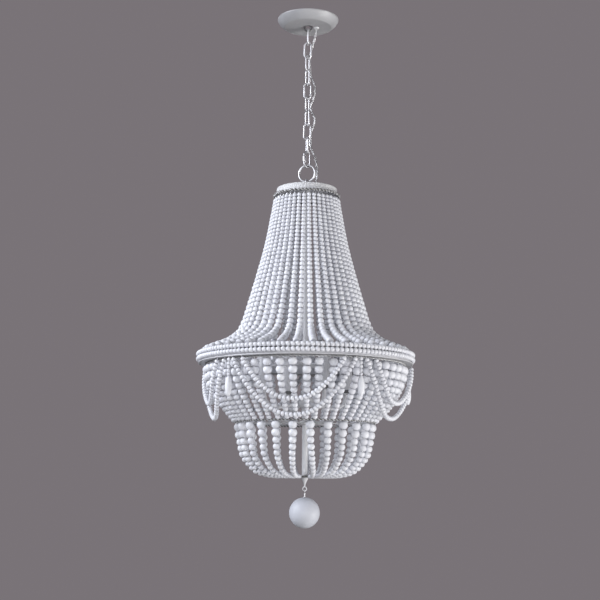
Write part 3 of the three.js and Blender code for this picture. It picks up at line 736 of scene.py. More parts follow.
def makeQuickLink():
    form = quickForm
    wire = form["wire"]
    _, top, middle = levelsOf("quick_link")
    nutLow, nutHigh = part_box("quick_link_nut")
    leg = (nutLow + nutHigh) / 2
    parts = [bendLink("quickWire", form["length"], form["width"], wire, top, form["yaw"], 40, 14)]
    tilted = (math.radians(form["threadTilt"]), 0, 0)
    for end in (1, -1):
        for i in range(int(form["threadLength"] / form["pitch"])):
            level = middle + end * (form["nutLength"] / 2 + (i + 0.4) * form["pitch"])
            parts.append(bendRing(f"quickThread{end}{i}", wire / 2, form["threadWire"], (leg.x, leg.y, level), tilted))
    link = joinAll("quickLinkWire", parts)
    finishPiece(link, "quick_link", "zincSteel", "quick_link", smooth=60)

    bore = wire / 2 + form["nutPlay"]
    deselectAll()
    bpy.ops.mesh.primitive_cylinder_add(
        vertices=6, radius=bore + form["nutWall"], depth=form["nutLength"], location=(0, 0, 0), end_fill_type="NGON")
    nut = settle("quickLinkSleeve")
    for end in (1, -1):
        openMesh(nut)
        pickFaces(lambda centre, normal: end * normal.z > 0.9)
        bpy.ops.mesh.inset(thickness=form["chamfer"][0], depth=form["chamfer"][1])
        bpy.ops.mesh.inset(thickness=form["mouth"], depth=0)
        closeMesh()
    applyModifier(nut, "BEVEL", width=form["bevel"], segments=2)
    drillHole(nut, bore, (0, 0, 0), form["nutLength"] * 2)
    nut.data.transform(Matrix.Translation(leg) @ Matrix.Rotation(math.radians(form["yaw"]), 4, "Z"))
    finishPiece(nut, "quick_link_nut", "zincSteel", "quick_link_nut", smooth=30)


makeQuickLink()

# Hanging ring
ringForm = {"width": 0.040, "wire": 0.0045, "yaw": -20}


def makeHangingRing():
    width, wire, yaw = ringForm["width"], ringForm["wire"], ringForm["yaw"]
    _, top, middle = levelsOf("hanging_ring")
    ring = bendLink("ringWire", width, width, wire, top, yaw, 64, 16)
    seam = weldSeam("ringSeam", width, wire, middle, yaw)
    whole = joinAll("hangingRing", [ring, seam])
    finishPiece(whole, "hanging_ring", "chainMetal", "hanging_ring", smooth=60)


makeHangingRing()
print("Canopy, chain and rings made")

# Crown: loop with its collar, pimpled cap and twisted hoop
crownForm = {
    "loopWidth": 0.0176, "loopWire": 0.004, "loopYaw": 70, "collar": 0.008, "screw": 0.004, "thread": 0.0003,
    "pitch": 0.0012, "capRadius": 0.0632, "capPlate": 0.0025, "capWall": 0.0025, "flange": 0.0012,
    "flangeHeight": 0.002, "round": 0.003, "roundSteps": 6, "cordHole": 0.0032, "cordPlace": 0.0175,
    "hoopRadius": 0.06745, "strand": 0.00137, "lay": 0.0076,
}
hoopLevel = levelsOf("crown_hoop")[2]
capBottom, crownTop, _ = levelsOf("crown_cap")


def makeCrown():
    form = crownForm
    width, collar = form["loopWidth"], form["collar"]
    bottom, top, _ = levelsOf("crown_loop")
    foot = top - width
    ring = bendLink("crownRing", width, width, form["loopWire"], top, form["loopYaw"], 40, 16)
    neck = turnProfile("crownCollar", [
        (0.0, foot + 0.003), (0.0026, foot + 0.0026), (0.0036, foot + 0.0012), (0.0052, foot - 0.0004),
        (collar - 0.0006, foot - 0.0014), (collar, foot - 0.0022), (collar, crownTop + 0.0008),
        (collar - 0.0005, crownTop + 0.0003), (0.0, crownTop + 0.0003),
    ], 32)
    screw = threadedRod("crownScrew", form["screw"], crownTop + 0.001, bottom, form["thread"], form["pitch"])
    loop = joinAll("crownLoop", [ring, neck, screw])
    finishPiece(loop, "fixture", "chainMetal", "crown_loop")

    hole = form["screw"] + 0.0003
    radius, bend = form["capRadius"], form["round"]
    inner, outer = radius - form["capWall"], radius + form["flange"]
    ledge = capBottom + form["flangeHeight"]
    under = crownTop - form["capPlate"]
    rounded = []
    for i in range(form["roundSteps"] + 1):
        turn = math.pi / 2 * i / form["roundSteps"]
        rounded.append((radius - bend + bend * math.sin(turn), crownTop - bend + bend * math.cos(turn)))
    cap = turnProfile("crownDisc", closeProfile(
        (hole, crownTop), (radius / 2, crownTop), *rounded,
        (radius, ledge + 0.0008), (radius + 0.0004, ledge + 0.0002), (outer, ledge - 0.0004),
        (outer, capBottom, 0.0004), (inner, capBottom), (inner, under), (hole, under),
    ), 96)
    drillHole(cap, form["cordHole"], (form["cordPlace"], 0, crownTop), 0.02, 24)
    finishPiece(cap, "fixture", "capPaint", "crown_cap", smooth=35)

    for name, turnOn, finish in (("crownTwistDark", 0, "darkWire"), ("crownTwistPale", 180, "paleWire")):
        strand = windStrand(name, form["hoopRadius"], form["strand"], form["lay"], hoopLevel, turnOn, 12)
        finishPiece(strand, "fixture", finish, "crown_hoop", smooth=60)


makeCrown()

# Rod down the middle, with a coupling where its halves meet
rodForm = {
    "radius": 0.006, "edge": 0.0006, "coupling": 0.0072, "couplingAt": 0.58, "couplingLength": 0.018,
    "chamfer": (0.0005, 0.0008),
}


def makeRod():
    form = rodForm
    radius, edge, coupling = form["radius"], form["edge"], form["coupling"]
    across, down = form["chamfer"]
    bottom, top, _ = levelsOf("stem_rod")
    middle = top + (bottom - top) * form["couplingAt"]
    high, low = middle + form["couplingLength"] / 2, middle - form["couplingLength"] / 2
    rod = turnProfile("stemRod", [
        (0.0, top), (radius - edge, top), (radius, top - edge),
        (radius, high), (coupling - across, high), (coupling, high - down),
        (coupling, low + down), (coupling - across, low), (radius, low),
        (radius, bottom + edge), (radius - edge, bottom), (0.0, bottom),
    ], 32)
    finishPiece(rod, "fixture", "rodPaint", "stem_rod")


makeRod()
print("Crown and rod made")

# Tiers of bead strings. A route goes outwards and down by shares, sizes are bead widths along it, and a string
# led astray leaves its upright plane by so many degrees
rimBottom, rimTop, _ = levelsOf("rim_hoop")
middleHoopLevel = levelsOf("middle_hoop")[2]
plateBottom, plateTop, _ = levelsOf("bottom_plate")

upperTier = {
    "start": (0.06530, hoopLevel - 0.0043), "end": (0.2119, rimTop + 0.0003),
    "count": 42, "first": 3.8, "lead": 0.003, "flatness": 0.875, "astray": {38: -1.8, 39: -2.4},
    "sizes": [(0.0, 0.0085), (0.35, 0.0104), (0.7, 0.0129), (0.85, 0.0147), (1.0, 0.0155)],
    "route": [
        (0, 0), (0.032, 0.095), (0.125, 0.32), (0.22, 0.49), (0.375, 0.739), (0.425, 0.811),
        (0.493, 0.875), (0.608, 0.92), (0.717, 0.949), (0.852, 0.973), (1, 1),
    ],
}
middleTier = {
    "start": (0.20375, rimBottom - 0.0017), "end": (0.14335, middleHoopLevel + 0.0016),
    "count": 50, "first": 0.2, "lead": 0.0030, "flatness": 0.84, "astray": {},
    "sizes": [
        (0.0, 0.0183), (0.12, 0.0184), (0.3, 0.0162), (0.42, 0.0151), (0.6, 0.0129), (0.8, 0.0111), (1.0, 0.0098),
    ],
    "route": [(0, 0), (0.02, 0.06), (0.12, 0.318), (0.375, 0.56), (0.69, 0.8), (1, 1)],
}
basketTier = {
    "start": (0.1405, middleHoopLevel - 0.0020), "end": (0.0266, plateTop - 0.0015),
    "count": 25, "first": 4.0, "lead": 0.0, "flatness": 0.87, "astray": {0: 15, 1: 9, 2: 4, 23: -4, 24: -9},
    "sizes": [
        (0.0, 0.0180), (0.09, 0.0178), (0.17, 0.0152), (0.25, 0.0143), (0.33, 0.0133), (0.42, 0.0123),
        (0.55, 0.0118), (0.7, 0.0100), (1.0, 0.0066),
    ],
    "route": [
        (0, 0), (0.027, 0.05), (0.057, 0.237), (0.085, 0.447), (0.118, 0.594), (0.158, 0.671), (0.207, 0.742),
        (0.264, 0.814), (0.322, 0.871), (0.393, 0.919), (0.481, 0.952), (0.64, 0.988), (1, 1),
    ],
}
# Stringing wire, how many degrees a string may stand off its even place, how far its beads may slip, and their gap
stringForm = {"wire": 0.0007, "sway": 0.35, "slack": 0.0016, "gap": 0.0001}


def frontRoute(tier):
    (startOut, startUp), (endOut, endUp) = tier["start"], tier["end"]
    return smoothRoute([
        (0, -(startOut + (endOut - startOut) * out), startUp + (endUp - startUp) * down)
        for out, down in tier["route"]
    ])


# A string that goes astray leaves its upright plane more and more towards its foot
def ledAstray(route, degrees):
    whole = routeLength(route)
    reached = 0.0
    led = [route[0]]
    for start, end in zip(route, route[1:]):
        reached += (end - start).length
        led.append(Matrix.Rotation(math.radians(degrees * (reached / whole) ** 2), 3, "Z") @ end)
    return led


# Threads every string of a tier, and joins the beads into so many panels
def makeTier(name, node, tier, panels):
    route = frontRoute(tier)
    models = {}
    wires = []
    places = []
    for i in range(tier["count"]):
        turn = tier["first"] + i * 360 / tier["count"] + random.uniform(-1, 1) * stringForm["sway"]
        stray = tier["astray"].get(i, 0)
        led = ledAstray(route, stray)
        if stray not in models:
            models[stray] = drawWire(f"{name}Wire", led[::4] + [led[-1]], stringForm["wire"], 1)
        lead = tier["lead"] + random.random() * stringForm["slack"]
        string = threadBeads(led, tier["sizes"], lead, 0.0, tier["flatness"], stringForm["gap"])
        wires.append(copyTurned(models[stray], turn))
        places.append(turnPlaces(string, turn))
    for model in models.values():
        bpy.data.objects.remove(model)
    share = math.ceil(tier["count"] / panels)
    for panel in range(panels):
        some = [place for string in places[panel * share:(panel + 1) * share] for place in string]
        beads = strungBeads(f"{name}Beads{panel + 1}", some)
        finishPiece(beads, "fixture", "beadPaint", node, smooth=60)
    threads = joinAll(name + "Threads", wires)
    finishPiece(threads, "fixture", "zincSteel", node, smooth=60)
    print(name, len(string), "beads on each of", tier["count"], "strings")


makeTier("upperTier", "upper_strands", upperTier, 2)
makeTier("middleTier", "middle_strands", middleTier, 1)
makeTier("basketTier", "basket_strands", basketTier, 1)

# Wire eyes that tie the strings to the hoops
eyeForm = {
    "wire": 0.0005, "crown": {"radius": 0.0668, "bend": 0.0034}, "basket": {"radius": 0.142, "bend": 0.0024},
    "pull": 0.35,  # how far an eye's foot is drawn inwards and down, as a share of its bend
}


def makeEyes(name, node, tier, form, level):
    bend = form["bend"]
    drawn = bend * eyeForm["pull"]
    eye = bendRing(
        name + "Eye", bend, eyeForm["wire"], (0, -form["radius"], level), (0, math.pi / 2, 0), 14)
    pullVerts(eye, lambda spot: spot.z < level - bend * 0.6, (0, drawn, -drawn))
    eyes = [copyTurned(eye, tier["first"] + i * 360 / tier["count"]) for i in range(tier["count"])]
    bpy.data.objects.remove(eye)
    finishPiece(joinAll(name, eyes), "fixture", "zincSteel", node, smooth=60)


makeEyes("crownEyes", "upper_strands", upperTier, eyeForm["crown"], hoopLevel)
makeEyes("basketEyes", "basket_strands", basketTier, eyeForm["basket"], middleHoopLevel)

# Twisted wire under the rim, which carries the middle strings
underWire = {"radius": 0.20375, "strand": 0.0009, "lay": 0.0084, "drop": 0.0022}
# The dark strand takes the grey of the rim's painted shadow
for name, turnOn, finish in (("underRimDark", 0, "rimShadowAndGreyWire"), ("underRimPale", 180, "paleWire")):
    level = rimBottom - underWire["drop"]
    strand = windStrand(name, underWire["radius"], underWire["strand"], underWire["lay"], level, turnOn)
    finishPiece(strand, "fixture", finish, "middle_strands", smooth=60)
print("Tiers made")

# Rim: a flat band with a rolled lip, a flange with four spokes, and two rows of flat beads
rimForm = {
    "radius": 0.215, "band": 0.002, "flange": 0.019, "flangeThickness": 0.002, "lip": 0.005,
    "lipThickness": 0.0016, "underside": 0.0003, "hub": 0.011, "hubBore": 0.0063, "hubHeight": 0.009,
    "spokes": 4, "spokeWidth": 0.010, "spokeThickness": 0.002, "spokeTurn": 69, "steps": 144,
}
rowForm = {
    "count": 148, "first": 0.73, "beadWidth": 0.0100, "beadLength": 0.0092, "radius": 0.2195, "wire": 0.0007,
    "tieRadius": 0.2163, "tieWire": 0.0009, "sway": 0.05,
}


def makeRim():
    form = rimForm
    radius, hub, bore = form["radius"], form["hub"], form["hubBore"]
    lip, inner, flange = radius + form["lip"], radius - form["band"], radius - form["flange"]
    lipTop, flangeTop = rimBottom + form["lipThickness"], rimBottom + form["flangeThickness"]
    hubTop = rimBottom + form["hubHeight"]
    band = turnProfile("rimBand", closeProfile(
        (radius, rimTop, 0.0003), (radius, lipTop), (lip, lipTop, 0.0005), (lip, rimBottom, 0.0005),
        (flange, rimBottom, 0.0004), (flange, flangeTop, 0.0004), (inner, flangeTop), (inner, rimTop, 0.0003),
    ), form["steps"])
    # Painted shadow: a thin grey sheet just under the flange and the lip stands in for the shade under the rim
    under = rimBottom - form["underside"]
    shadowInner, shadowOuter = flange + 0.0002, lip - 0.0007
    plate = turnProfile("rimPaintedShadow", closeProfile(
        (shadowInner, rimBottom), (shadowOuter, rimBottom), (shadowOuter, under), (shadowInner, under),
    ), form["steps"])
    finishPiece(plate, "fixture", "rimShadowAndGreyWire", "rim_hoop", smooth=35)
    parts = [band, turnProfile("rimHub", closeProfile(
        (bore, rimBottom), (hub, rimBottom, 0.0006), (hub, hubTop, 0.0008), (bore, hubTop)), 32)]
    start, end = hub - 0.0015, flange + 0.004
    thick = form["spokeThickness"]
    deselectAll()
    bpy.ops.mesh.primitive_cube_add(
        size=1, location=(0, -(start + end) / 2, rimBottom + thick / 2), scale=(form["spokeWidth"], end - start, thick))
    spoke = settle("rimSpoke")
    openMesh(spoke)
    bpy.ops.mesh.select_all(action="SELECT")
    bpy.ops.mesh.bevel(offset=0.0005, segments=2)
    closeMesh()
    parts += [copyTurned(spoke, form["spokeTurn"] + 360 / form["spokes"] * i) for i in range(form["spokes"])]
    bpy.data.objects.remove(spoke)
    finishPiece(joinAll("rimHoop", parts), "fixture", "whitePaint", "rim_hoop", smooth=35)


# The beads of a row lie on their sides, threaded on a hoop of wire
def makeRimRow(beadsName, wireName, node):
    form = rowForm
    level = levelsOf(node)[2]
    places = []
    for i in range(form["count"]):
        turn = form["first"] + i * 360 / form["count"] + random.uniform(-1, 1) * form["sway"]
        spot = outwards(turn, form["radius"], level)
        places.append((spot, outwards(turn + 90), form["beadWidth"], form["beadLength"]))
    finishPiece(strungBeads(beadsName, places), "fixture", "beadPaint", node, smooth=60)
    wire = bendRing(wireName, form["radius"], form["wire"], (0, 0, level), steps=form["count"])
    finishPiece(wire, "fixture", "zincSteel", node, smooth=60)


makeRim()
makeRimRow("rimRowUpper", "rimWireUpper", "rim_beads_upper")
makeRimRow("rimRowLower", "rimWireLower", "rim_beads_lower")
# A tie wire between the two rows, coloured dark as painted shade for the gaps between the rows of beads
between = (levelsOf("rim_beads_upper")[0] + levelsOf("rim_beads_lower")[1]) / 2
tie = bendRing("rimShadowTieWire", rowForm["tieRadius"], rowForm["tieWire"], (0, 0, between), steps=rowForm["count"])
finishPiece(tie, "fixture", "darkWire", "rim_beads_upper", smooth=60)

# Middle hoop of twisted wire on six thin spokes
middleForm = {
    "radius": 0.142, "strand": 0.0009, "lay": 0.0074, "spokes": 6, "spokeTurn": 30, "spokeWire": 0.0026,
    "hub": 0.012, "hubBore": 0.0063, "hubHeight": 0.008,
}


def makeMiddleHoop():
    form = middleForm
    radius, hub, bore = form["radius"], form["hub"], form["hubBore"]
    level = middleHoopLevel
    twist = (radius, form["strand"], form["lay"], level)
    dark = windStrand("middleTwistDark", *twist)
    finishPiece(dark, "fixture", "darkWire", "middle_hoop", smooth=60)
    parts = [windStrand("middleTwistPale", *twist, 180)]
    low, high = level - form["hubHeight"] / 2, level + form["hubHeight"] / 2
    parts.append(turnProfile("middleHub", closeProfile(
        (bore, low), (hub, low, 0.0008), (hub, high, 0.0008), (bore, high)), 32))
    spoke = drawWire(
        "middleSpoke", [(0, -0.010, level), (0, -0.07, level), (0, -radius, level)], form["spokeWire"] / 2, 3)
    parts += [copyTurned(spoke, form["spokeTurn"] + 360 / form["spokes"] * i) for i in range(form["spokes"])]
    bpy.data.objects.remove(spoke)
    finishPiece(joinAll("middleHoop", parts), "fixture", "paleWire", "middle_hoop", smooth=60)


makeMiddleHoop()
print("Hoops made")

# Bottom plate with a groove in its top
plateForm = {
    "radius": 0.026, "hole": 0.0033, "edge": 0.0008, "grooveStart": 0.012, "grooveEnd": 0.0146, "groove": 0.0004,
}


def makeBottomPlate():
    form = plateForm
    radius, hole, edge, groove = form["radius"], form["hole"], form["edge"], form["groove"]
    plate = turnProfile("bottomPlate", closeProfile(
        (hole, plateTop), (form["grooveStart"], plateTop), (form["grooveStart"] + groove, plateTop - groove),
        (form["grooveEnd"] - groove, plateTop - groove), (form["grooveEnd"], plateTop),
        (radius, plateTop, edge), (radius, plateBottom, edge), (hole, plateBottom),
    ), 64)
    finishPiece(plate, "fixture", "darkWire", "bottom_plate", smooth=35)


makeBottomPlate()

# Finial: a hollowed cone with an eye, and the ball that hangs in it by its pin
finialForm = {
    "top": 0.0068, "tip": 0.0019, "height": 0.0136, "straight": 0.0032, "hollow": 1.2, "neck": 0.004,
    "pin": 0.0015, "screw": 0.003, "eyeWidth": 0.010, "eyeWire": 0.0022, "loopWidth": 0.0084, "loopWire": 0.0018,
    "ball": 0.031, "flat": 0.0004,
}


def makeFinial():
    form = finialForm
    wide, narrow, straight, pin = form["top"], form["tip"], form["straight"], form["pin"]
    screwTop = levelsOf("finial_eye")[1]
    top = plateBottom - 0.0003
    tip = top - form["height"]
    neck = tip - form["neck"]
    cone = [
        (0.0, screwTop), (form["screw"], screwTop - 0.0004), (form["screw"], top), (wide - 0.0004, top),
        (wide, top - 0.0005), (wide, top - straight),
    ]
    for i in range(1, 9):
        share = i / 8
        radius = narrow + (wide - narrow) * (1 - share) ** form["hollow"]
        cone.append((radius, top - straight - (form["height"] - straight) * share))
    cone += [(narrow, tip - 0.0004), (pin, tip - 0.0008), (pin, neck - 0.0008), (0.0, neck - 0.0012)]
    foot = turnProfile("finialCone", cone, 32)
    eye = bendLink("finialEyeWire", form["eyeWidth"], form["eyeWidth"], form["eyeWire"], neck, 0, 32, 12)
    finishPiece(joinAll("finialEye", [foot, eye]), "fixture", "whitePaint", "finial_eye")

    bottom, top, _ = levelsOf("finial_ball")
    radius, width, wire = form["ball"], form["loopWidth"], form["loopWire"]
    loop = bendLink("ballLoopWire", width, width, wire, top, 90, 28, 10)
    pinTop = top - width + wire / 2
    shoulder = bottom + 2 * radius
    shaft = turnProfile("ballPin", [
        (0.0, pinTop), (pin, pinTop - 0.0004), (pin, shoulder + 0.0008), (pin + 0.0014, shoulder + 0.0003),
        (pin + 0.0016, shoulder - 0.0006), (0.0, shoulder - 0.0012),
    ], 20)
    finishPiece(joinAll("ballHook", [loop, shaft]), "finial_ball", "zincSteel", "finial_ball")
    deselectAll()
    bpy.ops.mesh.primitive_uv_sphere_add(segments=64, ring_count=40, radius=radius, location=(0, 0, bottom + radius))
    ball = settle("finialBall")
    flat = shoulder - form["flat"]
    openMesh(ball)
    pickVerts(lambda spot: spot.z > flat)
    bpy.ops.transform.resize(value=(1, 1, 0), center_override=(0, 0, flat))
    closeMesh()
    finishPiece(ball, "finial_ball", "ballPaint", "finial_ball", smooth=60)


makeFinial()
print("Finial made")

# Lamps: spider, pans, candle sleeves and lampholders
lampForm = {
    "count": 4, "first": 24, "radius": 0.092, "hub": 0.017, "hubBore": 0.0063, "hubHeight": 0.022, "arm": 0.004,
    "pan": 0.017, "panThickness": 0.002, "panRise": 0.018, "sleeve": 0.013, "sleeveWall": 0.0012,
    "sleeveLength": 0.088, "sleeveGap": 0.0003, "holder": 0.011, "recess": 0.006, "socket": 0.0075,
    "socketDepth": 0.026, "grooves": 6, "groovePitch": 0.0036, "cup": 0.0146, "cupHeight": 0.007,
    "armRoute": [(0, 0), (0.33, -0.45), (0.7, -0.62), (0.93, -0.1), (1, 1)],
}


def makeLamps():
    form = lampForm
    front = (0.0, -form["radius"])
    panTop = levelsOf("lamp_spider")[1]
    panBottom = panTop - form["panThickness"]
    level = panBottom - form["panRise"]
    hub, bore, pan = form["hub"], form["hubBore"], form["pan"]
    low, high = level - form["hubHeight"] / 2, level + form["hubHeight"] / 2
    spider = turnProfile("spiderHub", closeProfile(
        (bore, low), (hub * 0.62, low), (hub * 0.8, low + 0.002), (hub - 0.001, low + 0.005), (hub, low + 0.007),
        (hub, high - 0.006), (hub - 0.001, high - 0.004), (hub * 0.78, high - 0.0015), (hub * 0.6, high), (bore, high),
    ), 40)
    startOut, endOut = hub - form["arm"], form["radius"]
    endUp = panBottom + form["panThickness"] / 2
    arm = drawWire("spiderArm", smoothRoute([
        (0, -(startOut + (endOut - startOut) * out), level + (endUp - level) * up) for out, up in form["armRoute"]
    ], 6), form["arm"], 3)
    dish = turnProfile("spiderPan", [
        (0.0, panBottom), (pan * 0.5, panBottom), (pan * 0.86, panBottom + 0.0002), (pan, panBottom + 0.0009),
        (pan, panTop - 0.0003), (pan - 0.0004, panTop), (0.0, panTop),
    ], 40, front)

    foot = panTop + form["sleeveGap"]
    top = foot + form["sleeveLength"]
    outer, inner = form["sleeve"], form["sleeve"] - form["sleeveWall"]
    sleeve = turnProfile("candleSleeve", closeProfile(
        (outer, foot), (outer, top - 0.0012), (outer - 0.0003, top - 0.0004), (outer - 0.0007, top),
        (inner, top - 0.0004), (inner, foot),
    ), 40, front)

    holderTop = top - form["recess"]
    floor = holderTop - form["socketDepth"]
    wide, socket = form["holder"], form["socket"]
    profile = [
        (0.0, foot), (wide, foot), (wide, holderTop - 0.0006), (wide - 0.0006, holderTop),
        (socket + 0.0004, holderTop), (socket, holderTop - 0.0006),
    ]
    for i in range(form["grooves"]):
        groove = holderTop - 0.003 - i * form["groovePitch"]
        profile += [(socket + 0.0002, groove), (socket - 0.0004, groove - form["groovePitch"] / 2)]
    profile += [(socket, floor), (0.003, floor), (0.0028, floor + 0.0016), (0.0, floor + 0.002)]
    holder = turnProfile("lampHolder", profile, 32, front)
    cupInner, cup, cupTop = outer + 0.0002, form["cup"], foot + form["cupHeight"]
    collar = turnProfile("lampCup", closeProfile(
        (cupInner, foot), (cup, foot, 0.0004, 0.0006), (cup, cupTop, 0.001, 0.0006), (cupInner, cupTop)), 40, front)

    spiderParts = [spider]
    for i in range(1, form["count"] + 1):
        turn = form["first"] + (i - 1) * 360 / form["count"]
        spiderParts += [copyTurned(arm, turn), copyTurned(dish, turn)]
        candle = joinAll(f"candleSleeve{i}", [copyTurned(sleeve, turn)])
        finishPiece(candle, "fixture", "whitePaint", f"candle_sleeve_{i}")
        both = joinAll(f"lampHolder{i}", [copyTurned(holder, turn), copyTurned(collar, turn)])
        finishPiece(both, "fixture", "darkPlastic", f"lampholder_{i}")
    for model in (arm, dish, sleeve, holder, collar):
        bpy.data.objects.remove(model)
    finishPiece(joinAll("lampSpider", spiderParts), "fixture", "whitePaint", "lamp_spider")


makeLamps()
print("Lamps made")

# Swags between hooks under the rim: each hangs by a curve of this power, and is tucked inwards at its middle
swagForm = {
    "bays": 5, "first": -7.2, "hookRadius": 0.218, "hookDrop": 0.0012, "power": 2.35, "steps": 24,
    "upper": {"half": 27.4, "drop": 0.082, "tuck": 0.0209}, "lower": {"half": 33.4, "drop": 0.112, "tuck": 0.0327},
    "beadWidth": 0.0102, "flatness": 0.78, "gap": 0.0003, "ends": 0.92, "endShare": 0.12,
    "thread": 0.0035, "wire": 0.0007, "eye": 0.0011, "eyeWire": 0.0005, "eyeDrop": 0.0008,
}


def makeSwag(kind, number, bay):
    form = swagForm
    curve = form[kind]
    node = f"{kind}_swag_{number}"
    hook = rimBottom - form["hookDrop"]
    points = []
    for i in range(form["steps"] + 1):
        share = 2 * i / form["steps"] - 1
        full = 1 - abs(share) ** form["power"]
        radius = form["hookRadius"] - curve["tuck"] * full * full
        points.append(outwards(bay + curve["half"] * share, radius, hook - curve["drop"] * full))
    route = smoothRoute(points, 4)
    wide, end = form["beadWidth"], form["endShare"]
    sizes = [(0.0, wide * form["ends"]), (end, wide), (1 - end, wide), (1.0, wide * form["ends"])]
    places = threadBeads(route, sizes, form["thread"], form["thread"], form["flatness"], form["gap"])
    beads = strungBeads(f"{kind}SwagBeads{number}", places, beadHabit["swagTilt"])
    finishPiece(beads, node, "beadPaint", node, smooth=60)
    threads = [drawWire(f"{kind}SwagWire{number}", route[::3] + [route[-1]], form["wire"], 1)]
    for tip in (route[0], route[-1]):
        facing = (math.pi / 2, 0, math.atan2(tip.y, tip.x))
        spot = tip - Vector((0, 0, form["eyeDrop"]))
        threads.append(bendRing("swagEye", form["eye"], form["eyeWire"], spot, facing, 12))
    thread = joinAll(f"{kind}SwagThread{number}", threads)
    finishPiece(thread, node, "zincSteel", node, smooth=60)


# Oval drops between the bays: a few small beads and a long oval one, given by (width, length) shares
dropForm = {
    "radius": 0.217, "hookDrop": 0.0003, "thread": 0.0025, "bead": 0.0068, "pitch": 0.0072, "fill": 0.94,
    "beads": 5, "oval": 0.0068, "ovalLength": 0.0385, "ovalDimple": 0.0006, "ovalTone": 0.9,
    "wire": 0.0007, "wireGap": 0.0005, "wireBend": 0.010, "wireTail": 0.004,
    "shape": [
        (0.30, 0.0), (0.42, 0.02), (0.68, 0.11), (0.90, 0.25), (0.99, 0.40), (1.0, 0.5), (0.99, 0.60),
        (0.90, 0.75), (0.68, 0.89), (0.42, 0.98), (0.30, 1.0),
    ],
}


def makeDrop(number, angle):
    form = dropForm
    node = f"oval_drop_{number}"
    radius = form["radius"]
    top = rimBottom - form["hookDrop"]
    firstBead = top - form["thread"]
    places = []
    for i in range(form["beads"]):
        spot = outwards(angle, radius, firstBead - (i + 0.5) * form["pitch"])
        places.append((spot, Vector((0, 0, -1)), form["bead"], form["pitch"] * form["fill"]))
    beads = strungBeads(f"dropBeads{number}", places)
    ovalTop = firstBead - form["beads"] * form["pitch"]
    ovalEnd = ovalTop - form["ovalLength"]
    profile = [(out * form["oval"], ovalTop - share * form["ovalLength"]) for out, share in form["shape"]]
    profile = [(0.0, ovalTop - form["ovalDimple"])] + profile + [(0.0, ovalEnd + form["ovalDimple"])]
    oval = turnProfile(f"dropOval{number}", profile, 14, outwards(angle, radius)[:2])
    tone = oval.data.attributes.new("tone", "FLOAT", "FACE")
    tone.data.foreach_set("value", [form["ovalTone"]] * len(oval.data.polygons))
    drop = joinAll(f"ovalDrop{number}", [beads, oval])
    finishPiece(drop, node, "beadPaint", node, smooth=50)
    levels = (top - form["wireGap"], top - form["wireBend"], ovalTop - form["wireTail"])
    wire = drawWire(f"dropWire{number}", [outwards(angle, radius, level) for level in levels], form["wire"], 1)
    finishPiece(wire, node, "zincSteel", node, smooth=60)


bayPitch = 360 / swagForm["bays"]
for number in range(1, swagForm["bays"] + 1):
    bayAngle = swagForm["first"] + bayPitch * (number - 1)
    makeSwag("upper", number, bayAngle)
    makeSwag("lower", number, bayAngle)
    makeDrop(number, bayAngle + bayPitch / 2)
print("Swags and drops made")

# Supply cord, threaded beside the chain and cut into lengths at the middle of each link that it passes.
# Its route is in millimetres; the levels leaves and enters are read, but no cut uses them
cordForm = {
    "radius": 0.0024, "core": 0.0013, "leaves": -0.024, "enters": 0.003,
    "route": [
        (17.5, 0, -4), (17.5, 0, -14), (17.5, 0, -24), (15.5, 3, -36), (12, 7.5, -49), (7.5, 11.5, -63),
        (5, 13, -80), (5, 13, -100), (6.5, 12.5, -118), (11, 9.5, -133), (15, 4, -146), (15.5, 2, -156),
        (14, 5, -168), (9.5, 10, -180), (7, 12, -191), (9.5, 10, -202), (14, 5.5, -212), (15.5, 3, -222),
        (13, 7.5, -233), (8.5, 11.5, -244), (6, 13, -256), (6, 13, -269), (9, 12, -282), (14, 9, -294),
        (17.5, 7, -306), (20.5, 6.5, -320), (22, 6.5, -334), (20.5, 6, -348), (18, 3, -360), (17.5, 0, -372),
        (17.4, 0, -380), (15.8, 0, -387), (12, 0, -392.4), (7.5, 0, -397), (2.5, 0, -402),
    ],
}


# Cuts the whole cord down to the faces between two levels and closes its ends
def trimCord(piece, low, high, fresh):
    openMesh(piece)
    pickFaces(lambda centre, normal: centre.z > high or centre.z < low)
    bpy.ops.mesh.delete(type="FACE")
    bpy.ops.mesh.select_all(action="DESELECT")
    bpy.ops.mesh.select_non_manifold()
    if any(vert.select for vert in bmesh.from_edit_mesh(piece.data).verts):
        if fresh:
            bpy.ops.mesh.edge_face_add()
        else:
            bpy.ops.mesh.fill()
    bpy.ops.mesh.select_all(action="SELECT")
    bpy.ops.mesh.normals_make_consistent(inside=False)
    closeMesh()


def makeCord(name, radius, finish):
    route = smoothRoute([Vector(point) / 1000 for point in cordForm["route"]], 4)
    whole = drawWire("cordWhole", route, radius, 4)
    bodies = ["ceiling"] + [f"chain_link_{i}" for i in range(1, 10)] + ["quick_link", "hanging_ring", "fixture"]
    levels = [levelsOf(body)[2] for body in bodies[1:-1]]
    for level in levels:
        openMesh(whole)
        bpy.ops.mesh.select_all(action="SELECT")
        bpy.ops.mesh.bisect(plane_co=(0, 0, level), plane_no=(0, 0, 1))
        closeMesh()
    levels = [cordForm["leaves"]] + levels + [crownTop + cordForm["enters"]]
    last = len(bodies) - 2
    for i, (above, below) in enumerate(zip(bodies, bodies[1:])):
        upper, lower = levels[i], levels[i + 1]
        piece = whole.copy()
        piece.data = whole.data.copy()
        bpy.context.scene.collection.objects.link(piece)
        trimCord(piece, cadLow.z if i == last else lower, cadHigh.z if i == 0 else upper, i in (0, last))
        piece.name = f"{name}{i + 1}"
        paintPiece(piece, finish, 40)
        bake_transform(piece)
        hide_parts("supply_cord")
    bpy.data.objects.remove(whole)


makeCord("supplyCord", cordForm["radius"], "cordSheath")
makeCord("cordCore", cordForm["core"], "coreMetal")
print("Cord made")

# The bar on the ceiling and the grip's nut keep their own shape
for node in ("mounting_bar", "grip_nut"):
    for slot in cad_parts[node].material_slots:
        slot.material = finishes["zincSteel"]
bpy.data.objects.remove(beadModel)

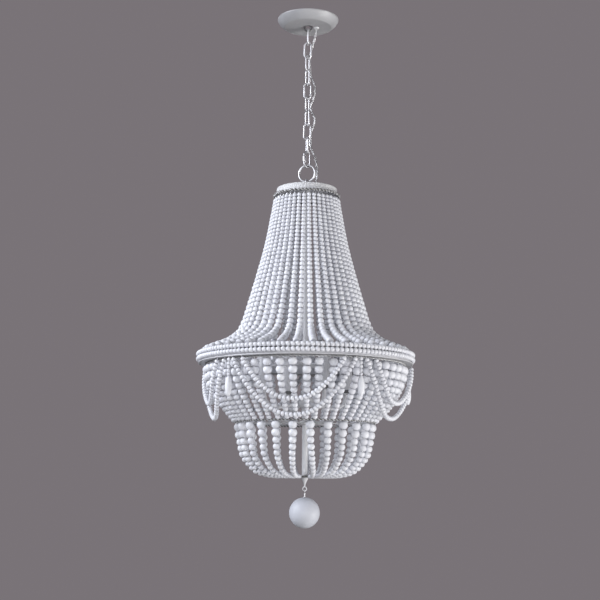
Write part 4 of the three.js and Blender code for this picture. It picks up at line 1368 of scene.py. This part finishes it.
# Floor, world and lights; each light is aimed at a level on the axis
roomForm = {
    "floorLevel": -2.45, "floorSize": 9.0, "floorColour": (0.62, 0.61, 0.60), "floorShade": (0.589, 0.5795, 0.57),
    "floorRough": 0.8, "floorScale": 3.0, "backdrop": (0.192, 0.172, 0.186), "ambient": (0.93, 0.95, 1.0),
    "ambientStrength": 0.11,
}
lightForms = {
    "leftSoft": {
        "place": (-1.75, -0.55, 0.10), "aim": -0.656, "size": 1.2, "power": 11.0, "spread": 75,
        "colour": (0.90, 0.93, 1.0)},
    "rightSoft": {
        "place": (1.85, -0.60, -1.35), "aim": -0.656, "size": 1.2, "power": 30, "spread": 180,
        "colour": (1.0, 0.985, 0.97)},
    "frontFill": {
        "place": (0.3, -3.2, -1.25), "aim": -0.656, "size": 1.8, "power": 44, "spread": 180,
        "colour": (0.98, 0.98, 1.0)},
    "canopySoft": {
        "place": (1.15, -0.55, -0.38), "aim": 0.02, "size": 0.3, "power": 0.25, "spread": 30,
        "colour": (1.0, 0.985, 0.98)},
}


def makeFloor():
    form = roomForm
    deselectAll()
    bpy.ops.mesh.primitive_plane_add(size=form["floorSize"], location=(0, 0, form["floorLevel"]))
    floor = settle("roomFloor")
    material, tree, shader, place = newMaterial("paleFloor")
    cloud = addNoise(tree, place, form["floorScale"], 3)
    setInput(tree, shader.inputs["Base Color"], addMix(tree, cloud, form["floorColour"], form["floorShade"]))
    setInput(tree, shader.inputs["Roughness"], form["floorRough"])
    floor.data.materials.append(material)


# The world shows the backdrop to the camera, to gloss and to clear plastic, and lights the rest evenly
def makeWorld():
    world = bpy.data.worlds.new("softRoom")
    bpy.context.scene.world = world
    world.use_nodes = True
    tree = world.node_tree
    tree.nodes.clear()
    shown = addNode(tree, "ShaderNodeBackground", {"Color": roomForm["backdrop"]})
    lit = addNode(tree, "ShaderNodeBackground", {
        "Color": roomForm["ambient"], "Strength": roomForm["ambientStrength"]})
    rays = tree.nodes.new("ShaderNodeLightPath").outputs
    seen = rays["Is Camera Ray"]
    for other in ("Is Glossy Ray", "Is Transmission Ray"):
        either = addNode(tree, "ShaderNodeMath", {0: seen, 1: rays[other]})
        either.operation = "MAXIMUM"
        seen = either.outputs[0]
    mix = addNode(tree, "ShaderNodeMixShader", {0: seen, 1: lit.outputs[0], 2: shown.outputs[0]})
    addNode(tree, "ShaderNodeOutputWorld", {"Surface": mix.outputs[0]})


def hangLight(name, form):
    place = Vector(form["place"])
    toward = Vector((0, 0, form["aim"])) - place
    deselectAll()
    bpy.ops.object.light_add(type="AREA", location=place, rotation=toward.to_track_quat("-Z", "Y").to_euler())
    light = bpy.context.object
    light.name = name
    light.data.shape = "SQUARE"
    light.data.size = form["size"]
    light.data.energy = form["power"]
    light.data.color = form["colour"]
    light.data.spread = math.radians(form["spread"])
    light.visible_camera = False


makeFloor()
makeWorld()
for name, form in lightForms.items():
    hangLight(name, form)
bpy.context.scene.view_settings.view_transform = "Standard"
print("Room lit")
